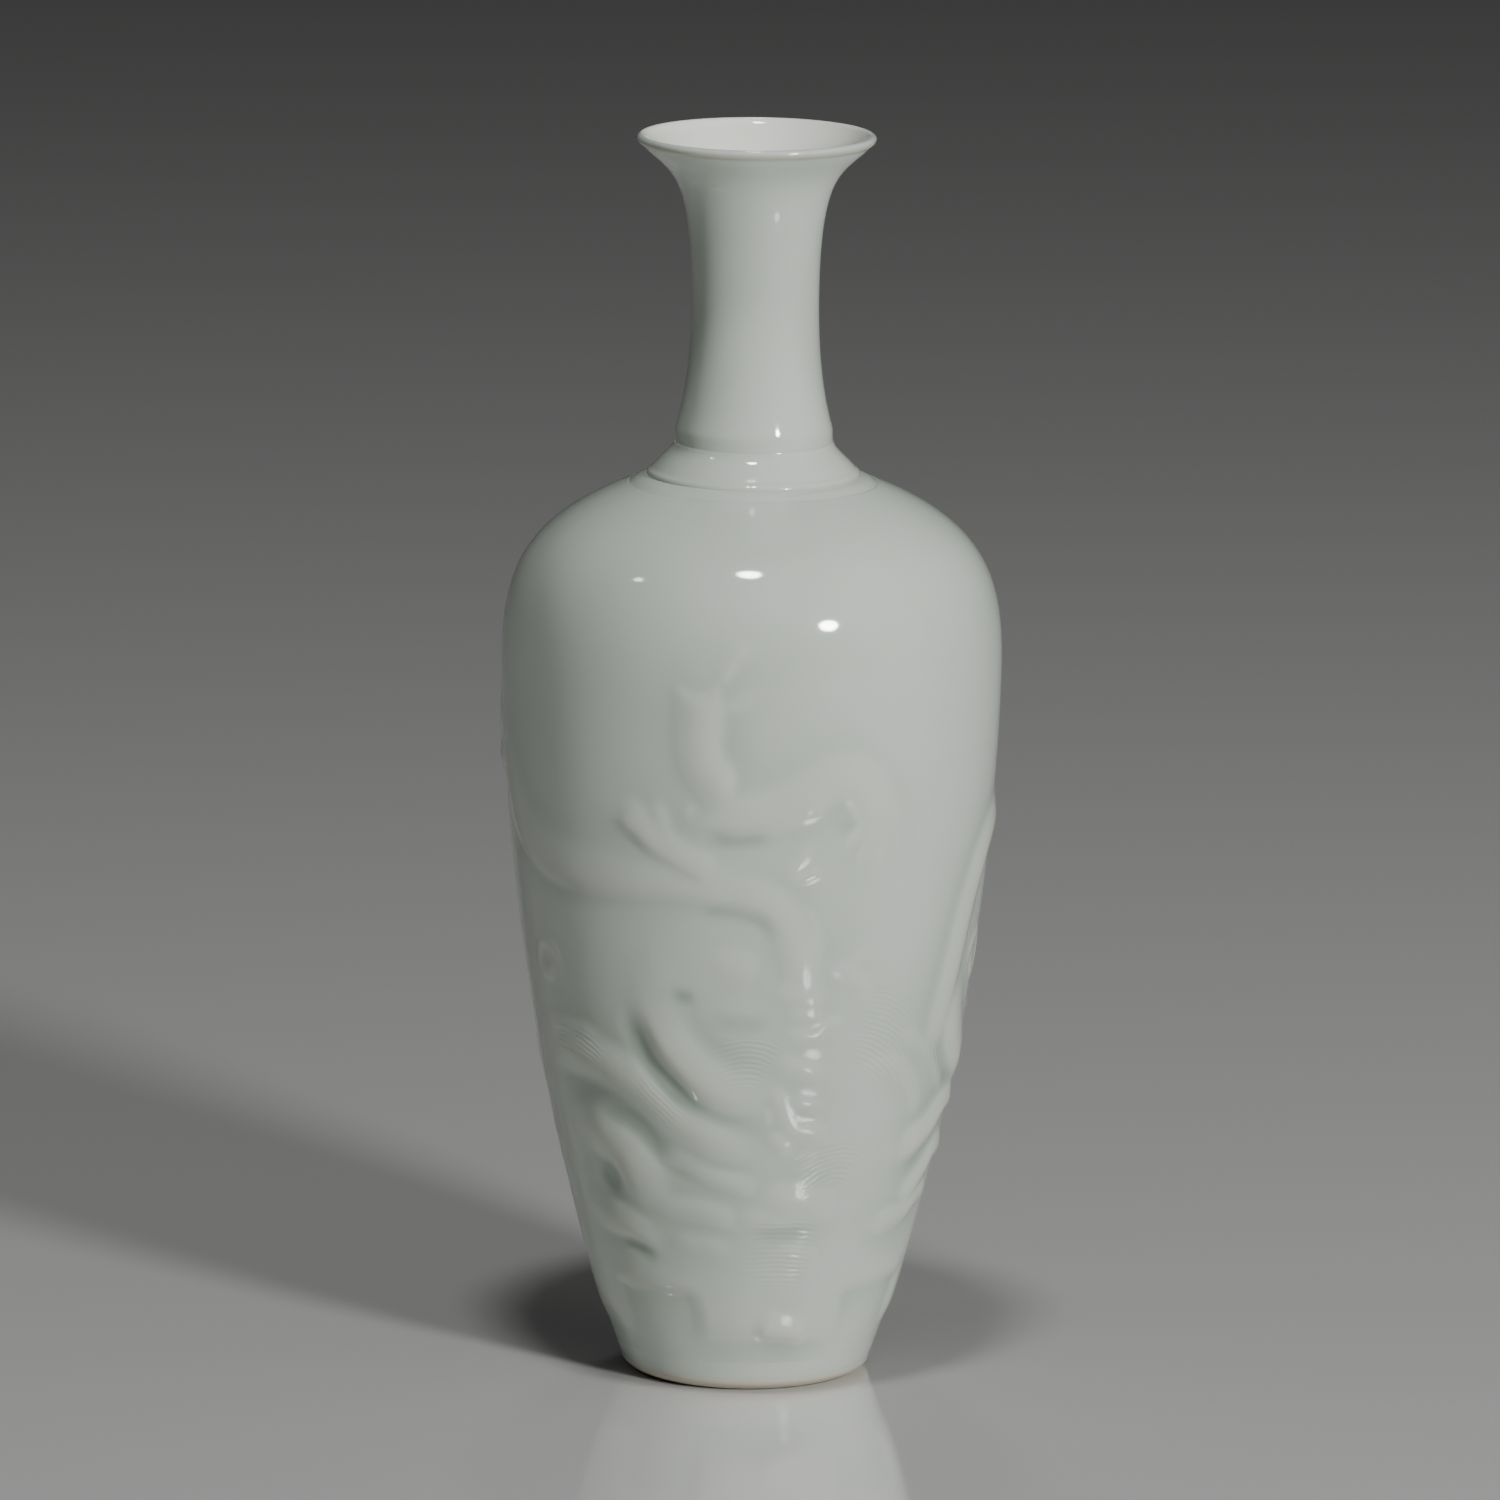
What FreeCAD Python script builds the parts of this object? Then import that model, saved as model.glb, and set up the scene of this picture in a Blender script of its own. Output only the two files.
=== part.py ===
import FreeCAD, Part

import math
import os

from FreeCAD import Vector

# A porcelain vase of the amphora form, with a dragon among waves in low relief.
# Z is up, the foot stands on Z = 0, the axis of the pot is the Z axis and the front faces -Y.
# Lengths are millimetres. Turns are degrees round the pot from the front, positive towards +X.

# Foot: a turned ring with a bare tread, a bevelled outer edge and a recessed base
TREAD_INNER_R = 15.0
TREAD_OUTER_R = 18.2
TREAD_EDGE = 0.4
FOOT_R = 20.4
BEVEL_H = 1.7
RECESS_H = 5.2
RECESS_TOP_R = 14.4
BASE_T = 4.6
BASE_R = 16.0
FLOOR_FILLET_H = 4.0

# Body: a cone that leans out from the foot and comes upright at the belly
BELLY_R = 41.1
BELLY_Z = 119.5
BODY_LEAN = 20.4
BODY_PULL_SHARES = (0.492, 0.034)
BODY_WALL = 3.0
BODY_SEAM_Z = 98.0
SLIP_T = 0.5
SLIP_BEAD_R = 1.0

# Shoulder: closes in from the belly to the turned band
SHOULDER_RISE = 29.0
SHOULDER_R = 20.6
SHOULDER_SLOPE = 21.5
SHOULDER_PULL_SHARES = (0.483, 0.634)
THROAT_T = 2.6
THROAT_EDGE = 1.5

# Shoulder band: a low sloping ring round the root of the neck
BAND_R = 20.4
BAND_EDGE_H = 0.25
BAND_RISE = 1.4

# Collar: a rounded edge and a concave flare up to the neck
COLLAR_R = 17.5
COLLAR_EDGE_H = 1.0
COLLAR_EDGE_ROUND = 0.7
COLLAR_BULGE_SHARES = (0.25, 0.67)
COLLAR_RISE = 5.4
COLLAR_TOP_R = 13.1
COLLAR_SLOPE = 42.0
COLLAR_TOP_LEAN = 12.0
COLLAR_PULL_SHARE = 0.35

# Neck: a short upright root, then a long waist over a true bore
NECK_BASE_R = 12.9
NECK_BASE_H = 2.1
WAIST_R = 10.46
WAIST_RISE = 21.1
WAIST_PULL_SHARES = (0.03, 0.69)
NECK_BORE_R = 7.6
MOUTH_SEAM_RISE = 12.0

# Mouth: a trumpet that turns out to a rounded lip
MOUTH_RISE = 27.5
MOUTH_LEAN = 43.3
MOUTH_PULL_SHARES = (0.857, 0.254)
LIP_R = 19.7
LIP_TOP_R = 18.9
LIP_H = 1.6
LIP_EDGE_RISE = 0.95
LIP_OVERHANG = 0.9
LIP_INNER_R = 17.7
LIP_INNER_DROP = 0.9
LIP_ROUND = 0.2
FLARE_START_RISE = 8.0
FLARE_LEAN = 50.0
FLARE_PULL_SHARES = (0.66, 0.3)

# Relief: the width and lift of a full ridge, and how deep its root goes under the wall before it is trimmed
RIDGE_HALF_W = 6.2
RIDGE_LIFT = 1.35
RIDGE_ROOT = 0.9

# Relief paths: turn, height as a share of the belly's height, then width and lift as shares of a full ridge
FORE_BODY_SHARES = (
    (-86, 0.925, 0.60, 0.65),
    (-80, 0.855, 0.80, 0.90),
    (-70, 0.790, 0.95, 1.00),
    (-56, 0.752, 1.00, 1.00),
    (-41, 0.742, 1.00, 1.00),
    (-25, 0.744, 1.00, 1.00),
    (-9, 0.748, 1.00, 1.00),
    (3, 0.738, 1.00, 1.00),
    (11, 0.700, 1.00, 1.00),
    (15.5, 0.645, 0.95, 1.00),
    (16, 0.585, 0.85, 0.95),
    (13, 0.525, 0.70, 0.80),
    (6, 0.478, 0.50, 0.40),
)
HIND_BODY_SHARES = (
    (56, 0.478, 0.50, 0.40),
    (60, 0.530, 0.70, 0.80),
    (63, 0.590, 0.85, 0.95),
    (67, 0.655, 0.95, 1.00),
    (73, 0.715, 1.00, 1.00),
    (83, 0.755, 1.00, 1.00),
    (95, 0.762, 1.00, 1.00),
    (106, 0.725, 1.00, 1.00),
    (113, 0.665, 0.95, 1.00),
    (116, 0.600, 0.85, 0.95),
    (116, 0.540, 0.70, 0.80),
    (112, 0.480, 0.50, 0.40),
)
MID_BODY_SHARES = (
    (148, 0.478, 0.50, 0.40),
    (148, 0.540, 0.70, 0.80),
    (151, 0.605, 0.85, 0.95),
    (158, 0.668, 0.95, 1.00),
    (170, 0.708, 1.00, 1.00),
    (185, 0.722, 1.00, 1.00),
    (200, 0.712, 1.00, 1.00),
    (213, 0.676, 0.95, 1.00),
    (221, 0.618, 0.85, 0.95),
    (224, 0.555, 0.70, 0.80),
    (222, 0.490, 0.50, 0.40),
)
TAIL_SHARES = (
    (30, 0.862, 0.40, 0.60),
    (25, 0.890, 0.46, 0.72),
    (18, 0.882, 0.48, 0.75),
    (9, 0.852, 0.50, 0.75),
    (-1, 0.852, 0.52, 0.80),
    (-8, 0.878, 0.50, 0.80),
    (-11.5, 0.925, 0.44, 0.72),
    (-12, 0.978, 0.34, 0.55),
)
FORE_LEG_SHARES = (
    (-12, 0.770, 0.42, 0.70),
    (-18, 0.805, 0.44, 0.78),
    (-23, 0.840, 0.42, 0.75),
    (-27, 0.878, 0.36, 0.62),
)
HIND_LEG_SHARES = (
    (41, 0.735, 0.36, 0.55),
    (38, 0.775, 0.44, 0.75),
    (35, 0.815, 0.48, 0.80),
    (32, 0.848, 0.44, 0.75),
)
# Talons and wisps: where each starts and ends, as turn and height share
FORE_TALON_SHARES = (
    (-26, 0.870, -35, 0.880),
    (-26, 0.873, -33, 0.915),
    (-26, 0.875, -27, 0.930),
    (-25, 0.870, -20, 0.915),
)
HIND_TALON_SHARES = (
    (38, 0.765, 29, 0.745),
    (39, 0.755, 32, 0.715),
    (40, 0.748, 39, 0.700),
    (41, 0.752, 47, 0.712),
)
TAIL_WISP_SHARES = (
    (-12, 0.965, -19, 1.022),
    (-12, 0.970, -15, 1.045),
    (-12, 0.970, -8, 1.062),
    (-11, 0.965, -2, 1.045),
    (-11, 0.958, 3, 1.008),
)
MANE_WISP_SHARES = (
    (-97, 0.860, -84, 0.930),
    (-99, 0.870, -90, 0.955),
    (-96, 0.845, -85, 0.875),
)
HORN_SHARES = (
    (-103, 0.885, -93, 0.975),
    (-106, 0.890, -100, 0.985),
)
SKULL_SHARES = (
    (-94, 0.850, 0.70, 0.70),
    (-100, 0.862, 1.05, 1.00),
    (-107, 0.868, 0.95, 1.00),
    (-114, 0.860, 0.60, 0.85),
    (-120, 0.862, 0.50, 0.75),
    (-123, 0.866, 0.25, 0.30),
)
JAW_SHARES = (
    (-104, 0.840, 0.55, 0.70),
    (-111, 0.812, 0.45, 0.65),
    (-117, 0.808, 0.40, 0.60),
    (-121, 0.818, 0.18, 0.25),
)
WISP_HALF_W = 1.6
WISP_LIFT = 0.75
WISP_TIP_SHARE = 0.3
WISP_BOW_SHARE = 0.16

# The pearl on the far side, with three short flames
PEARL_TURN = 205.0
PEARL_Z_SHARE = 0.88
PEARL_R = 3.6
PEARL_LIFT = 1.3
FLAME_SHARES = (
    (204, 0.905, 196, 0.955),
    (205, 0.908, 205, 0.975),
    (206, 0.905, 214, 0.955),
)

# Waves: long swells, each repeated at its own turns round the pot, and rolled curls between the coils
SWELL_TURNS = (
    (0, 90, 180, 270),
    (0, 180, 270),
    (0, 152, 180, 270),
    (0,),
)
SWELL_PATHS_SHARES = (
    (
        (-31, 0.600, 0.30, 0.30),
        (-24, 0.545, 0.62, 0.90),
        (-15, 0.500, 0.70, 1.10),
        (-6, 0.468, 0.70, 1.10),
        (2, 0.440, 0.58, 0.90),
        (8, 0.402, 0.30, 0.30),
    ),
    (
        (-72, 0.475, 0.30, 0.30),
        (-58, 0.472, 0.46, 0.75),
        (-45, 0.465, 0.50, 0.85),
        (-33, 0.440, 0.52, 0.90),
        (-23, 0.405, 0.52, 0.90),
        (-12, 0.380, 0.50, 0.85),
        (-2, 0.345, 0.30, 0.30),
    ),
    (
        (-58, 0.368, 0.30, 0.30),
        (-49, 0.382, 0.56, 0.85),
        (-40, 0.368, 0.64, 1.00),
        (-34, 0.325, 0.62, 1.00),
        (-29, 0.270, 0.45, 0.60),
    ),
    (
        (48, 0.335, 0.30, 0.30),
        (57, 0.350, 0.44, 0.70),
        (67, 0.378, 0.50, 0.85),
        (77, 0.392, 0.50, 0.85),
        (87, 0.375, 0.30, 0.30),
    ),
)
# Curls: turn, height share and size share of each, and which way it rolls
CURL_PLACES_SHARES = (
    (-18, 0.590, 1.00, 1),
    (28, 0.600, 0.80, -1),
    (82, 0.590, 1.00, 1),
    (135, 0.600, 0.80, -1),
    (172, 0.590, 1.00, 1),
    (202, 0.600, 0.80, -1),
    (252, 0.590, 1.00, 1),
    (298, 0.600, 0.80, -1),
)
CURL_R = 5.6
CURL_HALF_W = 1.5
CURL_LIFT = 0.8
CURL_TURNS = 1.15
CURL_STATIONS = 8
CURL_INNER_SHARE = 0.22
CURL_START = 200.0

# Border: a raised apron with four lobes above the foot
BORDER_LOBE_Z = 10.0
BORDER_GAP_Z = 17.5
BORDER_TOP_Z = 25.5
BORDER_LIFT = 0.85
BORDER_TOP_LIFT = 0.25
BORDER_LOBES = 4
BORDER_GAP_TURN = 33.0
BORDER_FIRST_LOBE_TURN = 6.5
BORDER_CORNER = 2.0

FULL_TURN = 360.0
OVERRUN = 5.0
CURVE_STEPS = 40

# Heights worked out from the stacked sections
FLOOR_Z = RECESS_H + BASE_T
SHOULDER_Z = BELLY_Z + SHOULDER_RISE
BAND_TOP_Z = SHOULDER_Z + BAND_RISE
COLLAR_TOP_Z = BAND_TOP_Z + COLLAR_RISE
NECK_ROOT_Z = COLLAR_TOP_Z + NECK_BASE_H
WAIST_Z = NECK_ROOT_Z + WAIST_RISE
HEIGHT = WAIST_Z + MOUTH_RISE
MOUTH_SEAM_Z = WAIST_Z + MOUTH_SEAM_RISE
FLARE_START_Z = WAIST_Z + FLARE_START_RISE
UP = Vector(0, 0, 1)
ORIGIN = Vector(0, 0, 0)


def at(radius, height):
    """A point of the pot's outline, drawn in the plane of +X and Z."""
    return Vector(radius, 0, height)


def leaning(degrees, length):
    """A step of the given length that leans out from upright by the given angle."""
    angle = math.radians(degrees)
    return Vector(length * math.sin(angle), 0, length * math.cos(angle))


def bezier(*poles):
    curve = Part.BezierCurve()
    curve.setPoles(list(poles))
    return curve


def eased(start, start_lean, end, end_lean, pull_shares):
    """A curve that leaves start and reaches end at given leans, with pulls as shares of its rise."""
    rise = abs(end.z - start.z)
    first = start + leaning(start_lean, rise * pull_shares[0])
    last = end - leaning(end_lean, rise * pull_shares[1])
    return bezier(start, first, last, end)


def line(start, end):
    return Part.LineSegment(start, end).toShape()


def arc(start, middle, end):
    return Part.Arc(start, middle, end).toShape()


def chain(points):
    return [line(start, end) for start, end in zip(points, points[1:])]


def turned(edges):
    """The solid that a closed outline sweeps in one turn round the axis."""
    return Part.Face(Part.Wire(edges)).revolve(ORIGIN, UP, FULL_TURN)


def outer_body_curves():
    belly = at(BELLY_R, BELLY_Z)
    body = eased(at(FOOT_R, BEVEL_H), BODY_LEAN, belly, 0, BODY_PULL_SHARES)
    shoulder_lean = SHOULDER_SLOPE - FULL_TURN / 4
    shoulder = eased(belly, 0, at(SHOULDER_R, SHOULDER_Z), shoulder_lean, SHOULDER_PULL_SHARES)
    return body, shoulder


BODY_CURVE, SHOULDER_CURVE = outer_body_curves()


def curve_point(curve, height):
    """The point of a rising curve at a height, found by halving."""
    low, high = 0.0, 1.0
    for _ in range(CURVE_STEPS):
        middle = (low + high) / 2
        if curve.value(middle).z < height:
            low = middle
        else:
            high = middle
    return curve.value(low), curve.tangent(low)[0]


def wall_at(height):
    """The wall's radius at a height, and its lean out from upright there."""
    curve = BODY_CURVE if height < BELLY_Z else SHOULDER_CURVE
    point, tangent = curve_point(curve, height)
    return point.x, math.degrees(math.atan2(tangent.x, tangent.z))


def neck_curve():
    root = at(NECK_BASE_R, NECK_ROOT_Z)
    return eased(root, 0, at(WAIST_R, WAIST_Z), 0, WAIST_PULL_SHARES)


def mouth_curve():
    lip = at(LIP_R - LIP_OVERHANG, HEIGHT - LIP_H)
    return eased(at(WAIST_R, WAIST_Z), 0, lip, MOUTH_LEAN, MOUTH_PULL_SHARES)


def collar_edges():
    """The collar from its rounded edge, up the concave flare, to the neck."""
    foot = at(COLLAR_R, BAND_TOP_Z)
    brow = at(COLLAR_R - COLLAR_EDGE_ROUND, BAND_TOP_Z + COLLAR_EDGE_H)
    inward, upward = COLLAR_BULGE_SHARES
    bulge = at(COLLAR_R - COLLAR_EDGE_ROUND * inward, BAND_TOP_Z + COLLAR_EDGE_H * upward)
    top = at(COLLAR_TOP_R, COLLAR_TOP_Z)
    pulls = (COLLAR_PULL_SHARE, COLLAR_PULL_SHARE)
    flare = eased(brow, -COLLAR_SLOPE, top, -COLLAR_TOP_LEAN, pulls)
    return [arc(foot, bulge, brow), flare.toShape(), line(top, at(NECK_BASE_R, COLLAR_TOP_Z))]


def outer_form():
    """Everything inside the outer surface, from the tread to the lip."""
    lip = at(LIP_R - LIP_OVERHANG, HEIGHT - LIP_H)
    lip_edge = at(LIP_R, HEIGHT - LIP_H + LIP_EDGE_RISE)
    lip_top = at(LIP_TOP_R, HEIGHT)
    edges = chain([ORIGIN, at(TREAD_OUTER_R, 0), at(FOOT_R, BEVEL_H)])
    edges += [BODY_CURVE.toShape(), SHOULDER_CURVE.toShape()]
    band = [at(SHOULDER_R, SHOULDER_Z), at(BAND_R, SHOULDER_Z), at(BAND_R, SHOULDER_Z + BAND_EDGE_H)]
    edges += chain(band + [at(COLLAR_R, BAND_TOP_Z)])
    edges += collar_edges()
    edges += chain([at(NECK_BASE_R, COLLAR_TOP_Z), at(NECK_BASE_R, NECK_ROOT_Z)])
    edges += [neck_curve().toShape(), mouth_curve().toShape(), arc(lip, lip_edge, lip_top)]
    edges += chain([lip_top, at(0, HEIGHT), ORIGIN])
    return turned(edges)


def body_core():
    """The plain solid under the body's outer surface, against which all relief is trimmed."""
    edges = [BODY_CURVE.toShape(), SHOULDER_CURVE.toShape()]
    edges += chain([at(SHOULDER_R, SHOULDER_Z), at(0, SHOULDER_Z), at(0, BEVEL_H), at(FOOT_R, BEVEL_H)])
    return turned(edges)


def inner_points():
    """Where the cavity's wall starts above the floor, turns at the belly and meets the shoulder."""
    outer_r, lean = wall_at(FLOOR_Z + FLOOR_FILLET_H)
    wall_start = at(outer_r - BODY_WALL / math.cos(math.radians(lean)), FLOOR_Z + FLOOR_FILLET_H)
    belly = at(BELLY_R - BODY_WALL, BELLY_Z)
    slope = math.radians(SHOULDER_SLOPE)
    shoulder_end = at(SHOULDER_R - BODY_WALL * math.sin(slope), SHOULDER_Z - BODY_WALL * math.cos(slope))
    return wall_start, lean, belly, shoulder_end


def cavity():
    """The hollow of the pot, from the floor through the neck's bore to the lip."""
    wall_start, lean, belly, shoulder_end = inner_points()
    corner_r = wall_start.x - FLOOR_FILLET_H * math.tan(math.radians(lean))
    fillet = bezier(at(BASE_R, FLOOR_Z), at(corner_r, FLOOR_Z), wall_start)
    body = eased(wall_start, lean, belly, 0, BODY_PULL_SHARES)
    shoulder_lean = SHOULDER_SLOPE - FULL_TURN / 4
    shoulder = eased(belly, 0, shoulder_end, shoulder_lean, SHOULDER_PULL_SHARES)
    throat_z = SHOULDER_Z - THROAT_T
    throat = at(NECK_BORE_R + THROAT_EDGE, throat_z)
    throat_top = at(NECK_BORE_R, throat_z + THROAT_EDGE)
    throat_edge = bezier(throat, at(NECK_BORE_R, throat_z), throat_top)
    flare_start = at(NECK_BORE_R, FLARE_START_Z)
    lip_inner = at(LIP_INNER_R, HEIGHT - LIP_INNER_DROP)
    flare = eased(flare_start, 0, lip_inner, FLARE_LEAN, FLARE_PULL_SHARES)
    lip_top = at(LIP_TOP_R, HEIGHT)
    lip_middle = (lip_inner + lip_top) * 0.5 + at(-LIP_ROUND, LIP_ROUND)
    edges = [line(at(0, FLOOR_Z), at(BASE_R, FLOOR_Z)), fillet.toShape(), body.toShape(), shoulder.toShape()]
    edges += [line(shoulder_end, throat), throat_edge.toShape(), line(throat_top, flare_start)]
    edges += [flare.toShape(), arc(lip_inner, lip_middle, lip_top)]
    edges += chain([lip_top, at(LIP_TOP_R, HEIGHT + OVERRUN), at(0, HEIGHT + OVERRUN), at(0, FLOOR_Z)])
    return turned(edges)


def foot_recess():
    """The hollow under the base, with a softened inner edge to the tread."""
    edge = at(TREAD_INNER_R + TREAD_EDGE, 0)
    points = [ORIGIN, edge, at(TREAD_INNER_R, TREAD_EDGE), at(RECESS_TOP_R, RECESS_H), at(0, RECESS_H), ORIGIN]
    return turned(chain(points))


def between(solid, low_z, high_z):
    """The level slice of a solid between two heights."""
    reach = BELLY_R + OVERRUN
    return solid.common(Part.makeCylinder(reach, high_z - low_z, at(0, low_z)))


def post(radius, low_z, high_z):
    return Part.makeCylinder(radius, high_z - low_z, at(0, low_z))


def thrown_pieces():
    """The vessel itself, cut where the potter joined it."""
    hollow = cavity()
    vessel = outer_form().cut(hollow).cut(foot_recess())
    seam_top = BODY_SEAM_Z + SLIP_T
    slip_top = SHOULDER_Z + SLIP_T
    disc = post(BASE_R, RECESS_H, FLOOR_Z)
    neck_post = post(NECK_BASE_R, SHOULDER_Z, COLLAR_TOP_Z)
    seam_inner_r = curve_point(inner_body_curve(), BODY_SEAM_Z)[0].x
    bead = Part.makeTorus(seam_inner_r, SLIP_BEAD_R, at(0, BODY_SEAM_Z + SLIP_T / 2)).common(hollow)
    band = between(vessel, SHOULDER_Z, BAND_TOP_Z)
    collar = between(vessel, BAND_TOP_Z, COLLAR_TOP_Z)
    return {
        "foot_ring": between(vessel, 0, RECESS_H),
        "base_disc": disc,
        "lower_body": between(vessel, RECESS_H, BODY_SEAM_Z).cut(disc),
        "body_seam_slip": between(vessel, BODY_SEAM_Z, seam_top).fuse(bead).removeSplitter(),
        "upper_body": between(vessel, seam_top, SHOULDER_Z),
        "neck_seam_slip": between(vessel, SHOULDER_Z, slip_top).common(neck_post),
        "shoulder_band": band.cut(neck_post),
        "collar_band": collar.cut(neck_post),
        "neck": neck_piece(vessel, slip_top),
        "mouth_rim": between(vessel, MOUTH_SEAM_Z, HEIGHT),
    }


def inner_body_curve():
    wall_start, lean, belly, _ = inner_points()
    return eased(wall_start, lean, belly, 0, BODY_PULL_SHARES)


def neck_piece(vessel, low_z):
    """The tube from the slip to the mouth, its root inside the collar."""
    root = post(NECK_BASE_R, low_z, COLLAR_TOP_Z).cut(post(NECK_BORE_R, low_z, COLLAR_TOP_Z))
    return between(vessel, COLLAR_TOP_Z, MOUTH_SEAM_Z).fuse(root).removeSplitter()


def wall_point(turn, height):
    """A point on the wall and the outward direction there."""
    radius, lean = wall_at(height)
    angle = math.radians(turn)
    radial = Vector(math.sin(angle), -math.cos(angle), 0)
    lean_angle = math.radians(lean)
    outward = radial * math.cos(lean_angle) - UP * math.sin(lean_angle)
    return radial * radius + UP * height, outward


def ridge_section(point, outward, along, half_width, lift):
    """A low arch across the path, closed by a chord under the wall."""
    side = along.cross(outward)
    side.normalize()
    root = point - outward * RIDGE_ROOT
    left = root - side * half_width
    right = root + side * half_width
    return Part.Wire([arc(left, point + outward * lift, right), line(right, left)])


def ridge(stations):
    """A soft ridge through stations of turn, height, half width and lift."""
    places = [wall_point(turn, height) for turn, height, _, _ in stations]
    last = len(places) - 1
    sections = []
    for index, (_, _, half_width, lift) in enumerate(stations):
        point, outward = places[index]
        along = places[min(index + 1, last)][0] - places[max(index - 1, 0)][0]
        sections.append(ridge_section(point, outward, along, half_width, lift))
    return Part.makeLoft(sections, True, False)


def body_ridge(path_shares):
    """A ridge from a table of turns and shares."""
    return ridge([
        (turn, height_share * BELLY_Z, width_share * RIDGE_HALF_W, lift_share * RIDGE_LIFT)
        for turn, height_share, width_share, lift_share in path_shares
    ])


def wisp(wisp_shares):
    """A short bowed ridge that tapers to its tip, as a talon, a lock of hair or a flame."""
    turn, height_share, end_turn, end_height_share = wisp_shares
    middle_turn = (turn + end_turn) / 2
    middle_share = (height_share + end_height_share) / 2 + WISP_BOW_SHARE * (end_height_share - height_share)
    return ridge([
        (turn, height_share * BELLY_Z, WISP_HALF_W, WISP_LIFT),
        (middle_turn, middle_share * BELLY_Z, WISP_HALF_W, WISP_LIFT),
        (end_turn, end_height_share * BELLY_Z, WISP_HALF_W * WISP_TIP_SHARE, WISP_LIFT * WISP_TIP_SHARE),
    ])


def joined(first, others):
    return first.multiFuse(others).removeSplitter()


def limb(path_shares, talon_shares):
    return joined(body_ridge(path_shares), [wisp(talon) for talon in talon_shares])


def dragon_head():
    parts = [wisp(lock) for lock in MANE_WISP_SHARES + HORN_SHARES]
    return joined(body_ridge(SKULL_SHARES), [body_ridge(JAW_SHARES)] + parts)


def dragon_tail():
    """The tail, which rises over the fore coil, with its tuft of wisps."""
    return joined(body_ridge(TAIL_SHARES), [wisp(lock) for lock in TAIL_WISP_SHARES])


def flaming_pearl():
    """A low dome, the cap of a ball sunk in the wall, with three flames above it."""
    point, outward = wall_point(PEARL_TURN, PEARL_Z_SHARE * BELLY_Z)
    ball_r = (PEARL_R**2 + PEARL_LIFT**2) / (2 * PEARL_LIFT)
    ball = Part.makeSphere(ball_r, point - outward * (ball_r - PEARL_LIFT))
    return joined(ball, [wisp(flame) for flame in FLAME_SHARES])


def curl(turn, height_share, size_share, hand):
    """A crest rolled over on itself: a ridge on a closing spiral, laid on the wall."""
    centre_z = height_share * BELLY_Z
    centre_r = wall_at(centre_z)[0]
    stations = []
    for index in range(CURL_STATIONS):
        share = index / (CURL_STATIONS - 1)
        reach = CURL_R * size_share * (1 - (1 - CURL_INNER_SHARE) * share)
        angle = math.radians(CURL_START - FULL_TURN * CURL_TURNS * share)
        offset_turn = math.degrees(hand * reach * math.cos(angle) / centre_r)
        taper = WISP_TIP_SHARE + (1 - WISP_TIP_SHARE) * math.sin(math.pi * min(2 * share, 1) / 2)
        half_width = CURL_HALF_W * size_share * taper
        stations.append((turn + offset_turn, centre_z + reach * math.sin(angle), half_width, CURL_LIFT * taper))
    return ridge(stations)


def gap_outline():
    """The space between two lobes of the border: round top corners, and round corners on the lobes."""
    gap_half_w = wall_at(BORDER_GAP_Z)[0] * math.radians(BORDER_GAP_TURN / 2)
    corner = BORDER_CORNER
    bulge = corner * (1 - math.sqrt(0.5))

    def place(side, inset, height):
        return Vector(side * (gap_half_w - inset), 0, height)

    def corner_arcs(side):
        """The lobe's corner and the gap's corner on one side, from the bottom up."""
        low = place(side, -corner, BORDER_LOBE_Z)
        low_middle = place(side, -bulge, BORDER_LOBE_Z + bulge)
        high = place(side, 0, BORDER_GAP_Z - corner)
        high_middle = place(side, bulge, BORDER_GAP_Z - bulge)
        rise = place(side, 0, BORDER_LOBE_Z + corner)
        top = place(side, corner, BORDER_GAP_Z)
        return low, [arc(low, low_middle, rise), line(rise, high), arc(high, high_middle, top)]

    left_low, left = corner_arcs(-1)
    right_low, right = corner_arcs(1)
    top = line(place(-1, corner, BORDER_GAP_Z), place(1, corner, BORDER_GAP_Z))
    floor_z = BORDER_LOBE_Z - BORDER_CORNER
    skirt = chain([left_low, Vector(left_low.x, 0, floor_z), Vector(right_low.x, 0, floor_z), right_low])
    return Part.Face(Part.Wire(Part.sortEdges(left + [top] + right + skirt)[0]))


def wave_border():
    """The apron of waves above the foot, with its lower edge stepped into lobes."""
    low_r = wall_at(BORDER_LOBE_Z)[0]
    top_r = wall_at(BORDER_TOP_Z)[0]
    points = [
        at(low_r - RIDGE_ROOT, BORDER_LOBE_Z),
        at(low_r + BORDER_LIFT, BORDER_LOBE_Z),
        at(top_r + BORDER_TOP_LIFT, BORDER_TOP_Z),
        at(top_r - RIDGE_ROOT, BORDER_TOP_Z),
    ]
    apron = turned(chain(points + points[:1]))
    gap = gap_outline().extrude(Vector(0, -(BELLY_R + OVERRUN), 0))
    step = FULL_TURN / BORDER_LOBES
    for index in range(BORDER_LOBES):
        cutter = gap.copy()
        cutter.rotate(ORIGIN, UP, BORDER_FIRST_LOBE_TURN + step * (index + 0.5))
        apron = apron.cut(cutter)
    return apron


def wave_swells():
    """The long swells, by name."""
    pieces = {}
    for first_turns, path_shares in zip(SWELL_TURNS, SWELL_PATHS_SHARES):
        for first_turn in first_turns:
            moved = [(turn + first_turn, *rest) for turn, *rest in path_shares]
            pieces[f"wave_swell_{len(pieces) + 1}"] = body_ridge(moved)
    return pieces


def wave_curls():
    """The rolled crests, by name."""
    return {f"wave_curl_{index + 1}": curl(*place) for index, place in enumerate(CURL_PLACES_SHARES)}


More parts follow.
